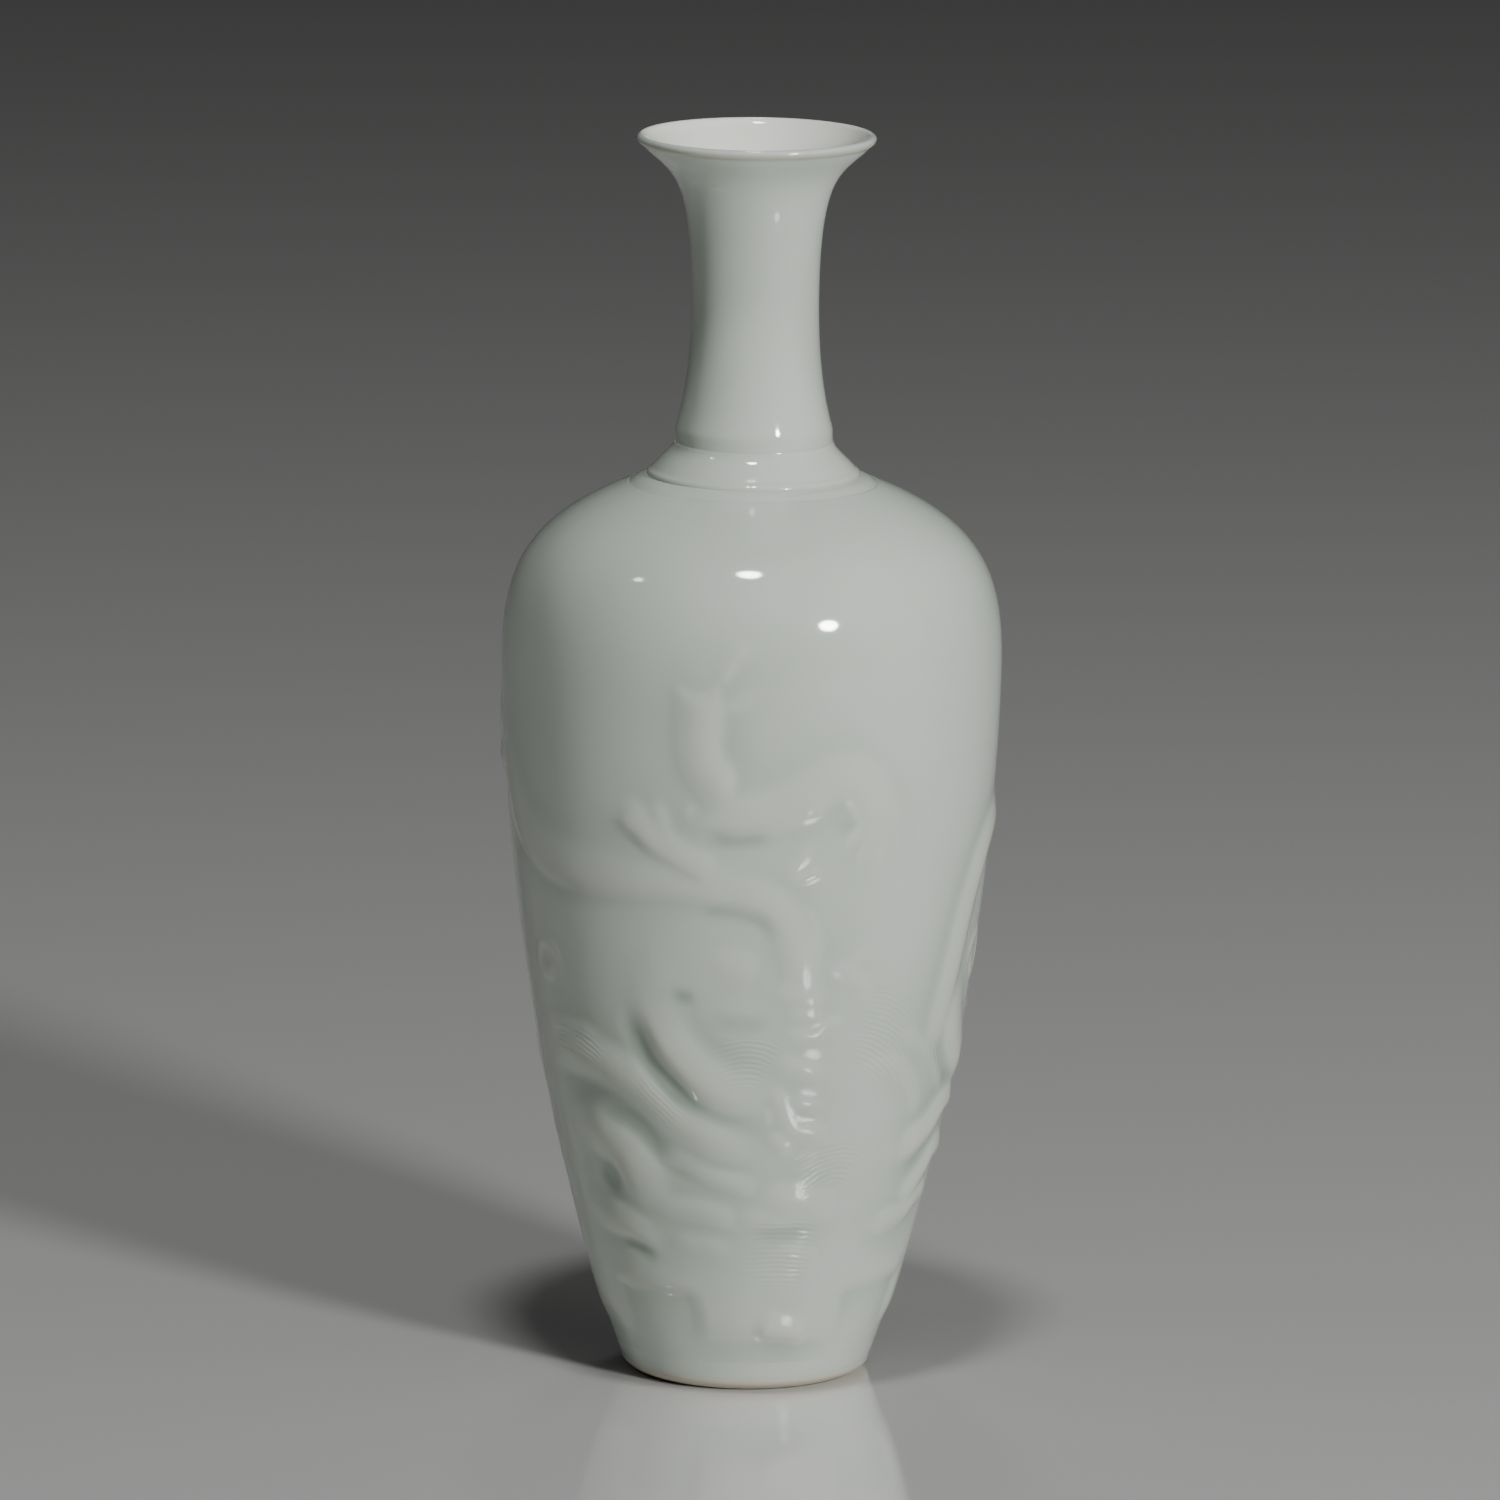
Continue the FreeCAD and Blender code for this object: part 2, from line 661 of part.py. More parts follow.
def relief_pieces():
    """All applied pieces, in the order in which a later one gives way to an earlier one."""
    pieces = wave_swells()
    pieces.update({
        "dragon_fore_body": body_ridge(FORE_BODY_SHARES),
        "dragon_hind_body": body_ridge(HIND_BODY_SHARES),
        "dragon_mid_body": body_ridge(MID_BODY_SHARES),
        "dragon_head": dragon_head(),
        "dragon_fore_leg": limb(FORE_LEG_SHARES, FORE_TALON_SHARES),
        "dragon_hind_leg": limb(HIND_LEG_SHARES, HIND_TALON_SHARES),
        "dragon_tail": dragon_tail(),
        "flaming_pearl": flaming_pearl(),
        "wave_border": wave_border(),
    })
    pieces.update(wave_curls())
    return pieces


def near(first, second):
    return first.BoundBox.intersect(second.BoundBox)


def laid_on_wall(pieces):
    """Each applied piece trimmed to the wall, then to the pieces already laid."""
    core = body_core()
    laid = {}
    for name, shape in pieces.items():
        shape = shape.cut(core)
        for other in laid.values():
            if near(shape, other):
                shape = shape.cut(other)
        laid[name] = shape
    return laid


def main():
    os.makedirs("parts", exist_ok=True)
    nodes = thrown_pieces()
    nodes.update(laid_on_wall(relief_pieces()))
    for name, shape in nodes.items():
        shape.exportStep(f"parts/{name}.step")
        print(name, len(shape.Solids), "solids", round(shape.Volume, 2), "mm3", shape.isValid())


main()
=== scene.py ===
import math

import bpy
import numpy as np
from mathutils import Matrix, Vector


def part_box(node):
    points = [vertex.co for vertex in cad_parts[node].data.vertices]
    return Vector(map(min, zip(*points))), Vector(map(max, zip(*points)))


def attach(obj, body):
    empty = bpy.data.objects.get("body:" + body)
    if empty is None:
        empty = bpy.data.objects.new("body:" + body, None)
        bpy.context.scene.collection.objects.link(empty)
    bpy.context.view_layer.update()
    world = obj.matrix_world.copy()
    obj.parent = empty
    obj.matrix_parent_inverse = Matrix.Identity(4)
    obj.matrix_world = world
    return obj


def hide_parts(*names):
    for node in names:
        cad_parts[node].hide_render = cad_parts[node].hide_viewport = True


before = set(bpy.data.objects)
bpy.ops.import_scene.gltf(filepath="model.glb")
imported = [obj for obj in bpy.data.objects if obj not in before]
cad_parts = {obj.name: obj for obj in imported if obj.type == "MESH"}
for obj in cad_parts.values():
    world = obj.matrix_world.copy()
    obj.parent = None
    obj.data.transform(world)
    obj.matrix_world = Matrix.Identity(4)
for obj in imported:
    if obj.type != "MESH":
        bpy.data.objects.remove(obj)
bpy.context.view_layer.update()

# A celadon porcelain vase with a dragon among waves in low relief.
# Values are in millimetres and degrees, but in metres where a heading says so.
# Turns run round the pot from its front, positive towards +X.
MM = 0.001
FULL_TURN = 360.0

# Levels and reaches that the construction gives
FOOT_TOP_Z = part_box("foot_ring")[1].z / MM
BODY_SEAM_Z = (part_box("lower_body")[1].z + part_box("upper_body")[0].z) / 2 / MM
SHOULDER_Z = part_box("upper_body")[1].z / MM
BAND_TOP_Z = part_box("shoulder_band")[1].z / MM
COLLAR_TOP_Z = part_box("collar_band")[1].z / MM
MOUTH_SEAM_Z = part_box("mouth_rim")[0].z / MM
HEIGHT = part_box("mouth_rim")[1].z / MM
FLOOR_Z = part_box("base_disc")[1].z / MM
BASE_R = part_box("base_disc")[1].x / MM
BAND_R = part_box("shoulder_band")[1].x / MM
COLLAR_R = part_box("collar_band")[1].x / MM
NECK_BASE_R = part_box("neck")[1].x / MM
LIP_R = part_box("mouth_rim")[1].x / MM

# Foot
TREAD_INNER_R = 15.0
TREAD_OUTER_R = 18.2
TREAD_ROUND = 0.5
FOOT_R = 20.4
BEVEL_H = 1.7
RECESS_TOP_R = 14.4
FOOT_CORNER = 50.0

# Body and shoulder, as two curves that meet upright at the belly
BELLY_R = 41.1
BELLY_Z = 119.5
BODY_LEAN = 20.4
BODY_PULL_SHARES = (0.492, 0.034)
SHOULDER_R = 20.6
SHOULDER_SLOPE = 21.5
SHOULDER_PULL_SHARES = (0.483, 0.634)
BODY_WALL = 3.0
FLOOR_FILLET_H = 4.0
THROAT_T = 2.6
SKIN_CUT_Z = 51.6

# The slip's bead inside the seam: how far it stands off the wall, and its height over the seam
BEAD_OUTLINE = ((-0.4, 1.0), (-0.4, -1.0), (0.3, -0.85), (0.8, -0.4), (0.9, 0), (0.75, 0.45), (0.3, 0.85))
BEAD_CORNER = 70.0

# The shoulder band's worn edge: how far in from its radius, and its height over the shoulder
BAND_EDGE = ((1.5, 0.92), (0.8, 0.5), (0.3, 0.16), (0, 0))

# Collar, neck and mouth
COLLAR_EDGE_H = 1.0
COLLAR_EDGE_ROUND = 0.7
COLLAR_EDGE_PULLS = ((0.02, 0.5), (-0.25, 0.8))
COLLAR_TOP_R = 13.1
COLLAR_SLOPE = 42.0
COLLAR_TOP_LEAN = 12.0
COLLAR_PULL_SHARES = (0.8, 0.3)
NECK_BASE_H = 2.1
NECK_ROOT_ROUND = 0.5
WAIST_R = 10.46
WAIST_RISE = 21.1
WAIST_PULL_SHARES = (0.03, 0.69)
NECK_BORE_R = 7.6
MOUTH_LEAN = 43.3
MOUTH_PULL_SHARES = (0.857, 0.254)
LIP_TOP_R = 18.9
LIP_H = 1.6
LIP_OVERHANG = 0.9
LIP_PULLS = ((0.1, 1.15), (0.05, 0.1))
LIP_INNER_R = 17.7
LIP_INNER_DROP = 0.9
LIP_INNER_PULL = (0.3, 0.55)
LIP_TOP_PULL = 0.5
FLARE_START_Z = 186.5
FLARE_LEAN = 50.0
FLARE_PULL_SHARES = (0.66, 0.3)

# How finely the pieces are turned
SKIN_COLUMNS = 640
SMALL_COLUMNS = 256
SKIN_ROW_H = 0.4
SMALL_ROW_H = 0.5
INNER_ROW_H = 4.0
LATHE_R = 100.0
CURVE_SAMPLES = 2400
PATH_STEP = 1.0
PIECE_CORNER = 60.0
FACE_CORNERS = 4
TOP_ROW_HOLD = 1.001

# Relief ridges: path of turns and heights, reach to its left and right, rise, and length of its faded ends
RIDGES = (
    # the upright tail with its tuft
    (((-11.4, 122), (-11.6, 116), (-11.4, 111), (-9.6, 107.6), (-6.2, 105.4), (-2, 104.8)),
     5.2, 5.4, 0.62, 4.0),
    (((-9.6, 121.5), (-9.4, 116), (-8.8, 111.4), (-5, 108.2)), 1.9, 2.6, 0.16, 3.0),
    (((-12.5, 117.5), (-15, 119.6), (-17.6, 122)), 1.9, 1.7, 0.26, 2.2),
    (((-10.5, 118), (-8.6, 120.4), (-7.2, 122.6)), 1.7, 1.7, 0.26, 2.2),
    (((-8, 122), (-6, 124.6), (-3.2, 127.2), (0.5, 127.8)), 1.6, 1.7, 0.24, 2.2),
    (((-9, 117.5), (-4, 118.8), (1, 121)), 2.2, 2.0, 0.14, 2.4),
    (((-15.6, 101.6), (-13, 100.6)), 2.2, 2.2, 0.2, 1.2),
    # the ridge that runs across and the hind foot
    (((-13, 100.2), (-7, 99.7), (0, 99.9), (8, 101), (14, 103.2), (18.4, 105), (22.6, 105.4), (26.4, 103.8),
      (29.6, 99.8), (31.6, 94.8), (32.4, 91)), 7.0, 4.2, 0.36, 8.0),
    (((12.6, 105), (13.4, 102.6), (13.6, 99.6)), 1.8, 1.8, 0.34, 1.6),
    (((30.5, 98), (28.5, 94.6), (27.2, 91)), 1.8, 1.6, 0.32, 2.2),
    (((33, 95.5), (31.6, 92.5), (30.8, 89.4)), 1.7, 1.5, 0.28, 2.2),
    (((28.5, 100), (25.6, 97.4), (23.4, 94.4)), 1.9, 1.6, 0.3, 2.2),
    (((8.8, 90.0), (10.8, 92), (14.8, 95.2)), 1.1, 1.1, 0.22, 1.6),
    (((8.8, 89.2), (12.4, 89.9), (17.4, 91.4)), 1.1, 1.1, 0.22, 1.6),
    # the fore coil and the fore leg
    (((-84, 109), (-79, 101), (-71, 93.5), (-60, 89.4), (-48, 87.6), (-35, 87.4), (-20, 88), (-8, 87.2),
      (1, 86)), 8.4, 3.2, 0.34, 8.0),
    (((-10, 87.2), (1, 86), (6.4, 83.6), (10, 79.4), (12.2, 74), (12.8, 67)), 5.6, 3.2, 0.36, 8.0),
    (((-34, 99.6), (-27.6, 97.6), (-23.4, 95), (-18, 92.8), (-12, 90.8), (-7, 89.4)), 5.4, 2.4, 0.5, 4.0),
    (((-22.4, 103), (-21.2, 99), (-18.6, 95.4), (-14, 92.4)), 2.6, 3.4, 0.24, 3.0),
    (((-11, 74), (-4, 75), (3, 73.8)), 4.6, 4.2, 0.24, 3.5),
    # the hind coil on the right
    (((60, 56), (61, 62), (63.5, 70), (67, 79), (72, 86), (79, 91), (89, 93), (101, 90), (110, 82),
      (115, 72), (116, 60)), 5.6, 4.0, 0.75, 8.0),
    # the far coil
    (((148, 58), (149, 66), (153, 76), (161, 83), (173, 86), (186, 87), (200, 85.5), (212, 81),
      (220, 73), (223, 62)), 6.0, 3.6, 0.75, 8.0),
    # the head on the left, behind, with jaw, brow, horns and mane
    (((-88, 101.4), (-95, 102.6), (-104, 103.6), (-111, 103.2)), 4.4, 5.2, 0.9, 4.0),
    (((-108, 103.2), (-114, 102.4), (-119, 102.8), (-122.5, 104)), 2.8, 2.6, 0.75, 2.4),
    (((-103, 99.6), (-110, 97.2), (-116, 96.6), (-120.5, 98.2)), 2.2, 2.2, 0.65, 2.4),
    (((-104.5, 106.6), (-109, 107.2), (-113, 105.6)), 1.5, 1.4, 0.4, 1.6),
    (((-102, 106), (-98.5, 111), (-93.5, 116)), 1.7, 1.5, 0.55, 3.0),
    (((-105, 107), (-103, 112.5), (-99, 117.5)), 1.6, 1.5, 0.46, 3.0),
    (((-96, 103), (-89, 107), (-84, 111.5)), 2.0, 1.6, 0.46, 3.0),
    (((-97, 104.5), (-92.5, 109), (-89.5, 114)), 1.8, 1.6, 0.42, 3.0),
    (((-95, 100.5), (-89.5, 102.4), (-85, 104.6)), 1.9, 1.6, 0.38, 3.0),
    (((-119, 101.5), (-124, 98.6), (-126.5, 94), (-125, 90)), 1.1, 1.1, 0.28, 2.0),
    (((-117, 96.4), (-115, 93), (-116, 89.5)), 1.1, 1.1, 0.24, 2.0),
    # the pearl and its flames
    (((204.6, 105.2), (205.4, 105.2)), 3.6, 3.6, 1.0, 0.3),
    (((204, 108.2), (199.5, 110.4), (196.5, 114)), 1.7, 1.4, 0.46, 2.4),
    (((205, 108.6), (206.4, 112.4), (205, 116.6)), 1.7, 1.4, 0.46, 2.4),
    (((206.4, 108.2), (211.5, 110.6), (213.5, 114)), 1.4, 1.7, 0.46, 2.4),
)

# Wave strokes: the turns by which each is moved on round the pot, then the same columns as above
WAVES = (
    ((0, 90, 180, 270),
     ((-26, 71), (-26, 66.4), (-23.2, 61.6), (-19, 58), (-13.6, 54.9), (-8, 53), (-1, 51.8), (6, 49.6)),
     7.6, 4.6, 1.08, 13.0),
    ((0, 180, 270),
     ((-68, 57), (-56, 57.2), (-46, 56.6), (-37, 55), (-29, 52.4), (-21, 48.8), (-12.4, 45.8), (-4, 43.6),
      (3, 41)), 5.6, 5.0, 0.7, 10.0),
    ((0, 152, 180, 270), ((-60, 42), (-52, 44), (-43.6, 43.4), (-37.4, 40), (-34, 35.4), (-33.6, 30)),
     7.2, 5.6, 0.86, 9.0),
    ((0, 152, 180, 270), ((-62, 28.6), (-50, 29), (-41, 28.2), (-33, 26.4), (-26, 25.2)),
     5.0, 4.0, 0.58, 8.0),
    ((0, 180, 270), ((-30, 41.6), (-22, 40.8), (-13, 38.8), (-4, 37.4), (5, 36.2)), 3.4, 2.2, 0.34, 5.0),
    ((0, 180, 270), ((-33, 32.6), (-22, 32.4), (-11, 31.8), (-2, 30.4)), 3.8, 2.6, 0.3, 4.0),
    ((0, 180, 270), ((-28, 26.6), (-16, 26.2), (-3, 25.4)), 3.0, 2.2, 0.24, 4.0),
    ((0, 152, 180, 270), ((-68, 60.4), (-57, 61.4), (-48, 60.8), (-40, 59.4)), 2.6, 2.2, 0.3, 5.0),
    # the crests at the right edge
    ((0,), ((50, 40.6), (57, 41.4), (65, 43.2), (74, 46.6), (86, 47)), 5.0, 3.2, 0.95, 5.0),
    ((0,), ((54, 32.6), (62, 33.2), (68, 35.6), (75, 38.6), (88, 38)), 4.4, 3.0, 0.8, 5.0),
    ((0, 152), ((44, 28.2), (54, 28.6), (62, 29.2), (70, 31.4), (82, 31)), 3.6, 2.8, 0.6, 5.0),
)

# Short crossing crests at the front, where the polished floor mirrors the key light up the pot
CRESTS = (
    (((6, 71), (13.6, 69.4), (20, 68.1)), 4.0, 2.4, 0.3, 2.6),
    (((9, 67.6), (14.4, 66.8), (20, 65.9)), 2.2, 2.0, 0.23, 2.0),
    (((9.5, 63.4), (14, 63.2), (18, 63.2), (20, 64.2), (22.6, 65), (25.4, 63.8)), 2.0, 2.0, 0.2, 1.8),
    (((7, 58.4), (14.6, 57.3), (21, 56.3)), 2.4, 2.4, 0.24, 2.4),
    (((5, 54.6), (8, 52), (10.4, 49), (12.6, 46.8), (17, 46.1), (24, 45.4)), 2.8, 2.2, 0.27, 2.6),
    (((6, 46.8), (9, 44.6), (13.4, 42.6)), 2.4, 2.0, 0.26, 2.0),
    (((11, 51.9), (16, 51.3), (21, 50.7)), 1.8, 1.8, 0.2, 2.0),
    (((4.8, 51.2), (5.6, 47.4)), 1.2, 1.1, 0.22, 1.0),
    (((2, 35), (10, 34.1), (17, 33.4), (30, 32.2)), 5.0, 3.4, 0.39, 4.5),
    (((-5, 31.6), (4, 31.2), (14, 31), (25, 31.8)), 3.0, 2.2, 0.22, 4.0),
    (((8, 25.5), (18, 24.6), (27, 23.8)), 2.6, 2.4, 0.28, 3.0),
    (((8, 24), (17, 23.2), (27, 21.8)), 2.6, 1.8, 0.2, 3.0),
    (((0, 12.2), (9, 11.3), (18, 10.6), (28, 10)), 5.6, 2.6, 0.98, 4.0),
    (((20, 75), (24.6, 73.6), (28.5, 71.4), (33, 68)), 2.4, 2.0, 0.2, 5.0),
    (((33, 75.4), (30.4, 76.6), (27.6, 75.6), (26.8, 73), (28.4, 71.4)), 1.5, 1.5, 0.14, 3.0),
    (((11, 86), (15.4, 82.8), (17.4, 78.4), (16.6, 73.4)), 1.4, 1.4, 0.14, 3.6),
    (((32, 56), (40, 56.8), (47, 55), (53, 51.2), (56.4, 45.6)), 2.6, 2.0, 0.22, 5.0),
    (((44, 62.6), (54, 59), (64, 53.4), (73, 47.6)), 1.8, 2.2, 0.16, 4.0),
    (((-54, 19.8), (-42, 19.9), (-30, 19.8), (-22, 20)), 2.4, 2.4, 0.26, 5.0),
    (((-22, 20), (-18.2, 18.8), (-15.4, 16), (-13.2, 12.8), (-9, 11)), 3.0, 3.0, 0.26, 4.0),
)

# Rolled curls: turn, height, reach of the outer roll, and which way it rolls
CURLS = (
    (82, 70.5, 5.0, 1),
    (135, 71.5, 4.4, -1),
    (172, 70.5, 5.0, 1),
    (202, 71.5, 4.4, -1),
    (252, 70.5, 5.0, 1),
    (298, 71.5, 4.4, -1),
)
CURL_TURNS = 1.3
CURL_START = 200.0
CURL_INNER_SHARE = 0.2
CURL_POINTS = 14
CURL_REACH = 1.3
CURL_RISE = 0.26

# Grooves and hollows, in the same columns, with a negative rise
GROOVES = (
    (((24.4, 100.6), (24.2, 98.2), (22.8, 95.4)), 3.6, 3.6, -0.2, 4.0),
    (((-12, 96.8), (-4, 96.2), (6, 96.8)), 2.4, 2.0, -0.26, 4.0),
    (((-14, 84.4), (-4, 84.2), (3, 82.8), (7, 78.6)), 2.0, 2.4, -0.2, 4.0),
    (((-17.2, 71.4), (-17.4, 67.4)), 2.8, 2.8, -0.3, 2.0),
    (((-12, 66.4), (-6, 65.2), (0, 64.9), (7, 65.8)), 2.4, 2.4, -0.18, 5.0),
    (((-32, 68), (-30, 63.4), (-26.4, 59), (-22.4, 55.8), (-17.4, 52.6), (-10, 50)), 3.6, 4.0, -0.5, 8.0),
    (((-50, 47), (-38, 47.4), (-31, 45.4), (-27, 43), (-19, 39.8), (-10, 37.8)), 2.8, 3.0, -0.26, 6.0),
    (((-48.6, 40), (-45.4, 36.6), (-41, 33.6)), 3.6, 3.6, -0.4, 4.0),
    (((-48, 25.6), (-40, 25), (-31, 23)), 2.4, 2.2, -0.4, 4.0),
    (((0, 28.8), (10, 28.4), (22, 29.2)), 1.8, 1.8, -0.18, 4.0),
    (((-108.4, 105.2), (-107.6, 105.2)), 1.0, 1.0, -0.3, 0.2),
    (((-111, 100.2), (-116, 99.6), (-120, 100.6)), 1.0, 1.0, -0.3, 1.6),
)

# Combed patches: a guide path, reach to its left and right, and the strength of the lines
COMBED_PATCHES = (
    (((24, 70), (34, 69.4), (44, 66.6), (54, 61.4), (63, 54.5), (70, 46)), 1.5, 14.0, 1.0),
    (((-12, 61), (-4, 62.4), (4, 62.4), (11, 60.4)), 0.5, 9.0, 0.9),
    (((10, 38.6), (17, 41.8), (26, 43.4), (34, 42.8), (41, 40.6)), 0.8, 8.0, 0.9),
    (((-4, 30.6), (8, 30.8), (18, 30.6), (28, 29.6)), 0.5, 13.0, 0.8),
    (((-64, 61.6), (-56, 62), (-47, 60.8), (-38, 58)), 0.5, 6.0, 0.7),
    (((-30, 57), (-22, 52), (-14, 48)), 0.5, 5.0, 0.35),
)
COMB_PITCH = 0.85
COMB_FADE_SHARE = 0.35

# Border: a raised apron above the foot with four lobes
BORDER_LOBE_Z = 10.0
BORDER_GAP_Z = 17.5
BORDER_TOP_Z = 31.0
BORDER_LIFT = 0.46
BORDER_LOBES = 4
BORDER_GAP_TURN = 35.0
BORDER_FIRST_LOBE_TURN = 9.5
BORDER_CORNER = 1.8
BORDER_BEAD = 0.12
BORDER_BEAD_REACH = 1.8
BORDER_GAP_SOFTNESS = 1.8
BORDER_LOBE_SOFTNESS = 5.0

# How the glaze softens the relief and pools in it, its pooled colour being partly painted shade in the
# hollows
RIDGE_BLEND = 0.3
END_SHARE = 0.1
GLAZE_FILL = 0.45
BLUR_REACHES = 3
POOL_AND_SHADE_REACH = 3.6
POOL_AND_SHADE_DEPTH = 0.36

# Colours of the glaze, and its tints where it is thin, even or pooled, in the mouth and on the lip; the
# pooled and lip tints are partly painted shade
GLAZE_DEEP = (0.472, 0.514, 0.460)
GLAZE_LIGHT = (0.520, 0.558, 0.506)
THIN_TINT = (1.0, 0.965, 0.955)
EVEN_TINT = (0.94, 0.955, 0.945)
# The pooled tint is partly the deeper colour of thick glaze, partly painted shade in the hollows.
POOLED_AND_SHADED_TINT = (0.61, 0.67, 0.635)
LINING_TINT = (1.50, 1.40, 1.45)
NO_TINT = (1.0, 1.0, 1.0)
# The lip tint is partly thin warm glaze, partly painted shade on the lip's outer edge.
LIP_WARM_AND_SHADE_TINT = (0.90, 0.85, 0.79)
LIP_WARM_AND_SHADE_SHARES = (0.25, 0.5, 0.8)
LIP_FADE_H = 1.9
CLOUD_SHARES = (0.35, 0.65)

# Gloss and depth of the glaze
GLAZE_ROUGHNESS = 0.07
GLAZE_IOR = 1.5
GLAZE_SCATTER = 0.12
GLAZE_SCATTER_RADIUS = (1.0, 1.05, 1.0)
GLAZE_SCATTER_DEPTH = 1.5

# The bare tread, where the glaze ends, and the fired slip
BARE_CLAY = (0.54, 0.49, 0.41)
WARM_EDGE = (0.50, 0.47, 0.39)
WARM_EDGE_SHARE = 0.35
GLAZE_END_Z = 0.7
GLAZE_END_SWING = 0.8
GLAZE_END_SHARPNESS = 650.0
BARE_ROUGHNESS = 0.75
FOOT_ROUGHNESS = 0.09
SLIP_STOPS = ((0.3, (0.62, 0.60, 0.55)), (0.7, (0.70, 0.68, 0.63)))
SLIP_ROUGHNESS = 0.45

# Noise in the finishes: its scale per metre and its detail
CLOUD_NOISE = (22.0, 2.0)
RIPPLE_NOISE = (160.0, 1.5)
COMB_NOISE = (240.0, 1.0)
GLAZE_END_NOISE = (180.0, 2.0)
GRIT_NOISE = (1800.0, 3.0)
SLIP_NOISE = (700.0, 3.0)

# Bumps in the finishes: their strength and depth
RIPPLE_BUMP = (0.22, 0.2)
COMB_BUMP = (0.5, 0.06)
COMB_WANDER = 0.9
GRIT_BUMP = (0.3, 0.1)
SLIP_BUMP = (0.4, 0.3)

# The floor and the room, in metres
FLOOR_HALF = 6.0
FLOOR_COLOUR = (0.74, 0.74, 0.73, 1.0)
FLOOR_ROUGHNESS = 0.08
FLOOR_METALLIC = 0.4
ROOM_COLOUR = (0.62, 0.63, 0.63, 1.0)
ROOM_STRENGTH = 0.02

# Lights: turn, elevation, then distance, width and height in metres, watts, and the aimed height in metres
LIGHTS = (
    ("key light", 37, 22, 1.5, 0.21, 0.17, 21.0, 0.13),
    ("high light", -4, 72, 1.3, 0.17, 0.14, 8.0, 0.14),
    ("left light", -78, 48, 1.4, 0.09, 0.09, 0.6, 0.14),
    ("back light", 180, 56, 1.5, 0.12, 0.20, 1.5, 0.15),
    ("side bank", 70, 14, 3.2, 2.4, 2.0, 3.0, 0.12),
    ("overhead bank", 48, 52, 2.8, 3.8, 3.2, 10.0, 0.12),
)

# The camera
CAMERA_DISTANCE = 2082.7
CAMERA_Z = 510.1
CAMERA_PITCH = 11.042
CAMERA_ROLL = 0.561
LENS = 309.6
SENSOR = 36.0
FRAME_PIXELS = 1500.0
CAMERA_SHIFT_PIXELS = 0.8
NEAREST_SEEN = 100.0
FARTHEST_SEEN = 50000.0


def bezier(start, first, last, end):
    """Points of a curve in the plane of radius and height."""
    share = np.linspace(0, 1, CURVE_SAMPLES)[:, None]
    poles = [np.array(pole, float) for pole in (start, first, last, end)]
    weights = ((1 - share) ** 3, 3 * (1 - share) ** 2 * share, 3 * (1 - share) * share**2, share**3)
    return sum(weight * pole for weight, pole in zip(weights, poles))


def eased(start, start_lean, end, end_lean, pull_shares):
    """A curve that leaves start and reaches end at given leans, with pulls as shares of its rise."""
    rise = abs(end[1] - start[1])
    lean_in, lean_out = math.radians(start_lean), math.radians(end_lean)
    pull_in, pull_out = rise * pull_shares[0], rise * pull_shares[1]
    first = (start[0] + pull_in * math.sin(lean_in), start[1] + pull_in * math.cos(lean_in))
    last = (end[0] - pull_out * math.sin(lean_out), end[1] - pull_out * math.cos(lean_out))
    return bezier(start, first, last, end)


def outer_body():
    """The body's outer line, from the bevel of the foot over the belly to the shoulder band."""
    body = eased((FOOT_R, BEVEL_H), BODY_LEAN, (BELLY_R, BELLY_Z), 0, BODY_PULL_SHARES)
    shoulder_lean = SHOULDER_SLOPE - FULL_TURN / 4
    shoulder = eased((BELLY_R, BELLY_Z), 0, (SHOULDER_R, SHOULDER_Z), shoulder_lean, SHOULDER_PULL_SHARES)
    return np.vstack([body, shoulder[1:]])


OUTER_BODY = outer_body()


def wall_radius(height):
    return np.interp(height, OUTER_BODY[:, 1], OUTER_BODY[:, 0])


def wall_lean(height):
    """How far the wall leans out from upright, in radians."""
    step = SKIN_ROW_H / 2
    return np.arctan2(wall_radius(height + step) - wall_radius(height - step), 2 * step)


def inner_body():
    """The body's inner line, from the rounded floor up to the throat."""
    start_z = FLOOR_Z + FLOOR_FILLET_H
    lean = float(wall_lean(start_z))
    start = (float(wall_radius(start_z)) - BODY_WALL / math.cos(lean), start_z)
    corner = (start[0] - FLOOR_FILLET_H * math.tan(lean), FLOOR_Z)
    fillet = bezier((BASE_R, FLOOR_Z), corner, corner, start)
    belly = (BELLY_R - BODY_WALL, BELLY_Z)
    body = eased(start, math.degrees(lean), belly, 0, BODY_PULL_SHARES)
    slope = math.radians(SHOULDER_SLOPE)
    end = (SHOULDER_R - BODY_WALL * math.sin(slope), SHOULDER_Z - BODY_WALL * math.cos(slope))
    shoulder = eased(belly, 0, end, SHOULDER_SLOPE - FULL_TURN / 4, SHOULDER_PULL_SHARES)
    return np.vstack([fillet, body[1:], shoulder[1:]])


INNER_BODY = inner_body()


def part_of(curve, low_z, high_z, row_h):
    """The stretch of a rising curve between two heights, in rows of about the given height."""
    heights = np.linspace(low_z, high_z, max(int(round((high_z - low_z) / row_h)), 1) + 1)
    return np.stack([np.interp(heights, curve[:, 1], curve[:, 0]), heights], axis=1)


def thinned(curve, step):
    """A curve kept at about one point to each step of its length, ends included."""
    run = np.concatenate([[0], np.cumsum(np.hypot(*np.diff(curve, axis=0).T))])
    places = np.linspace(0, run[-1], max(int(round(run[-1] / step)), 1) + 1)
    return np.stack([np.interp(places, run, curve[:, 0]), np.interp(places, run, curve[:, 1])], axis=1)


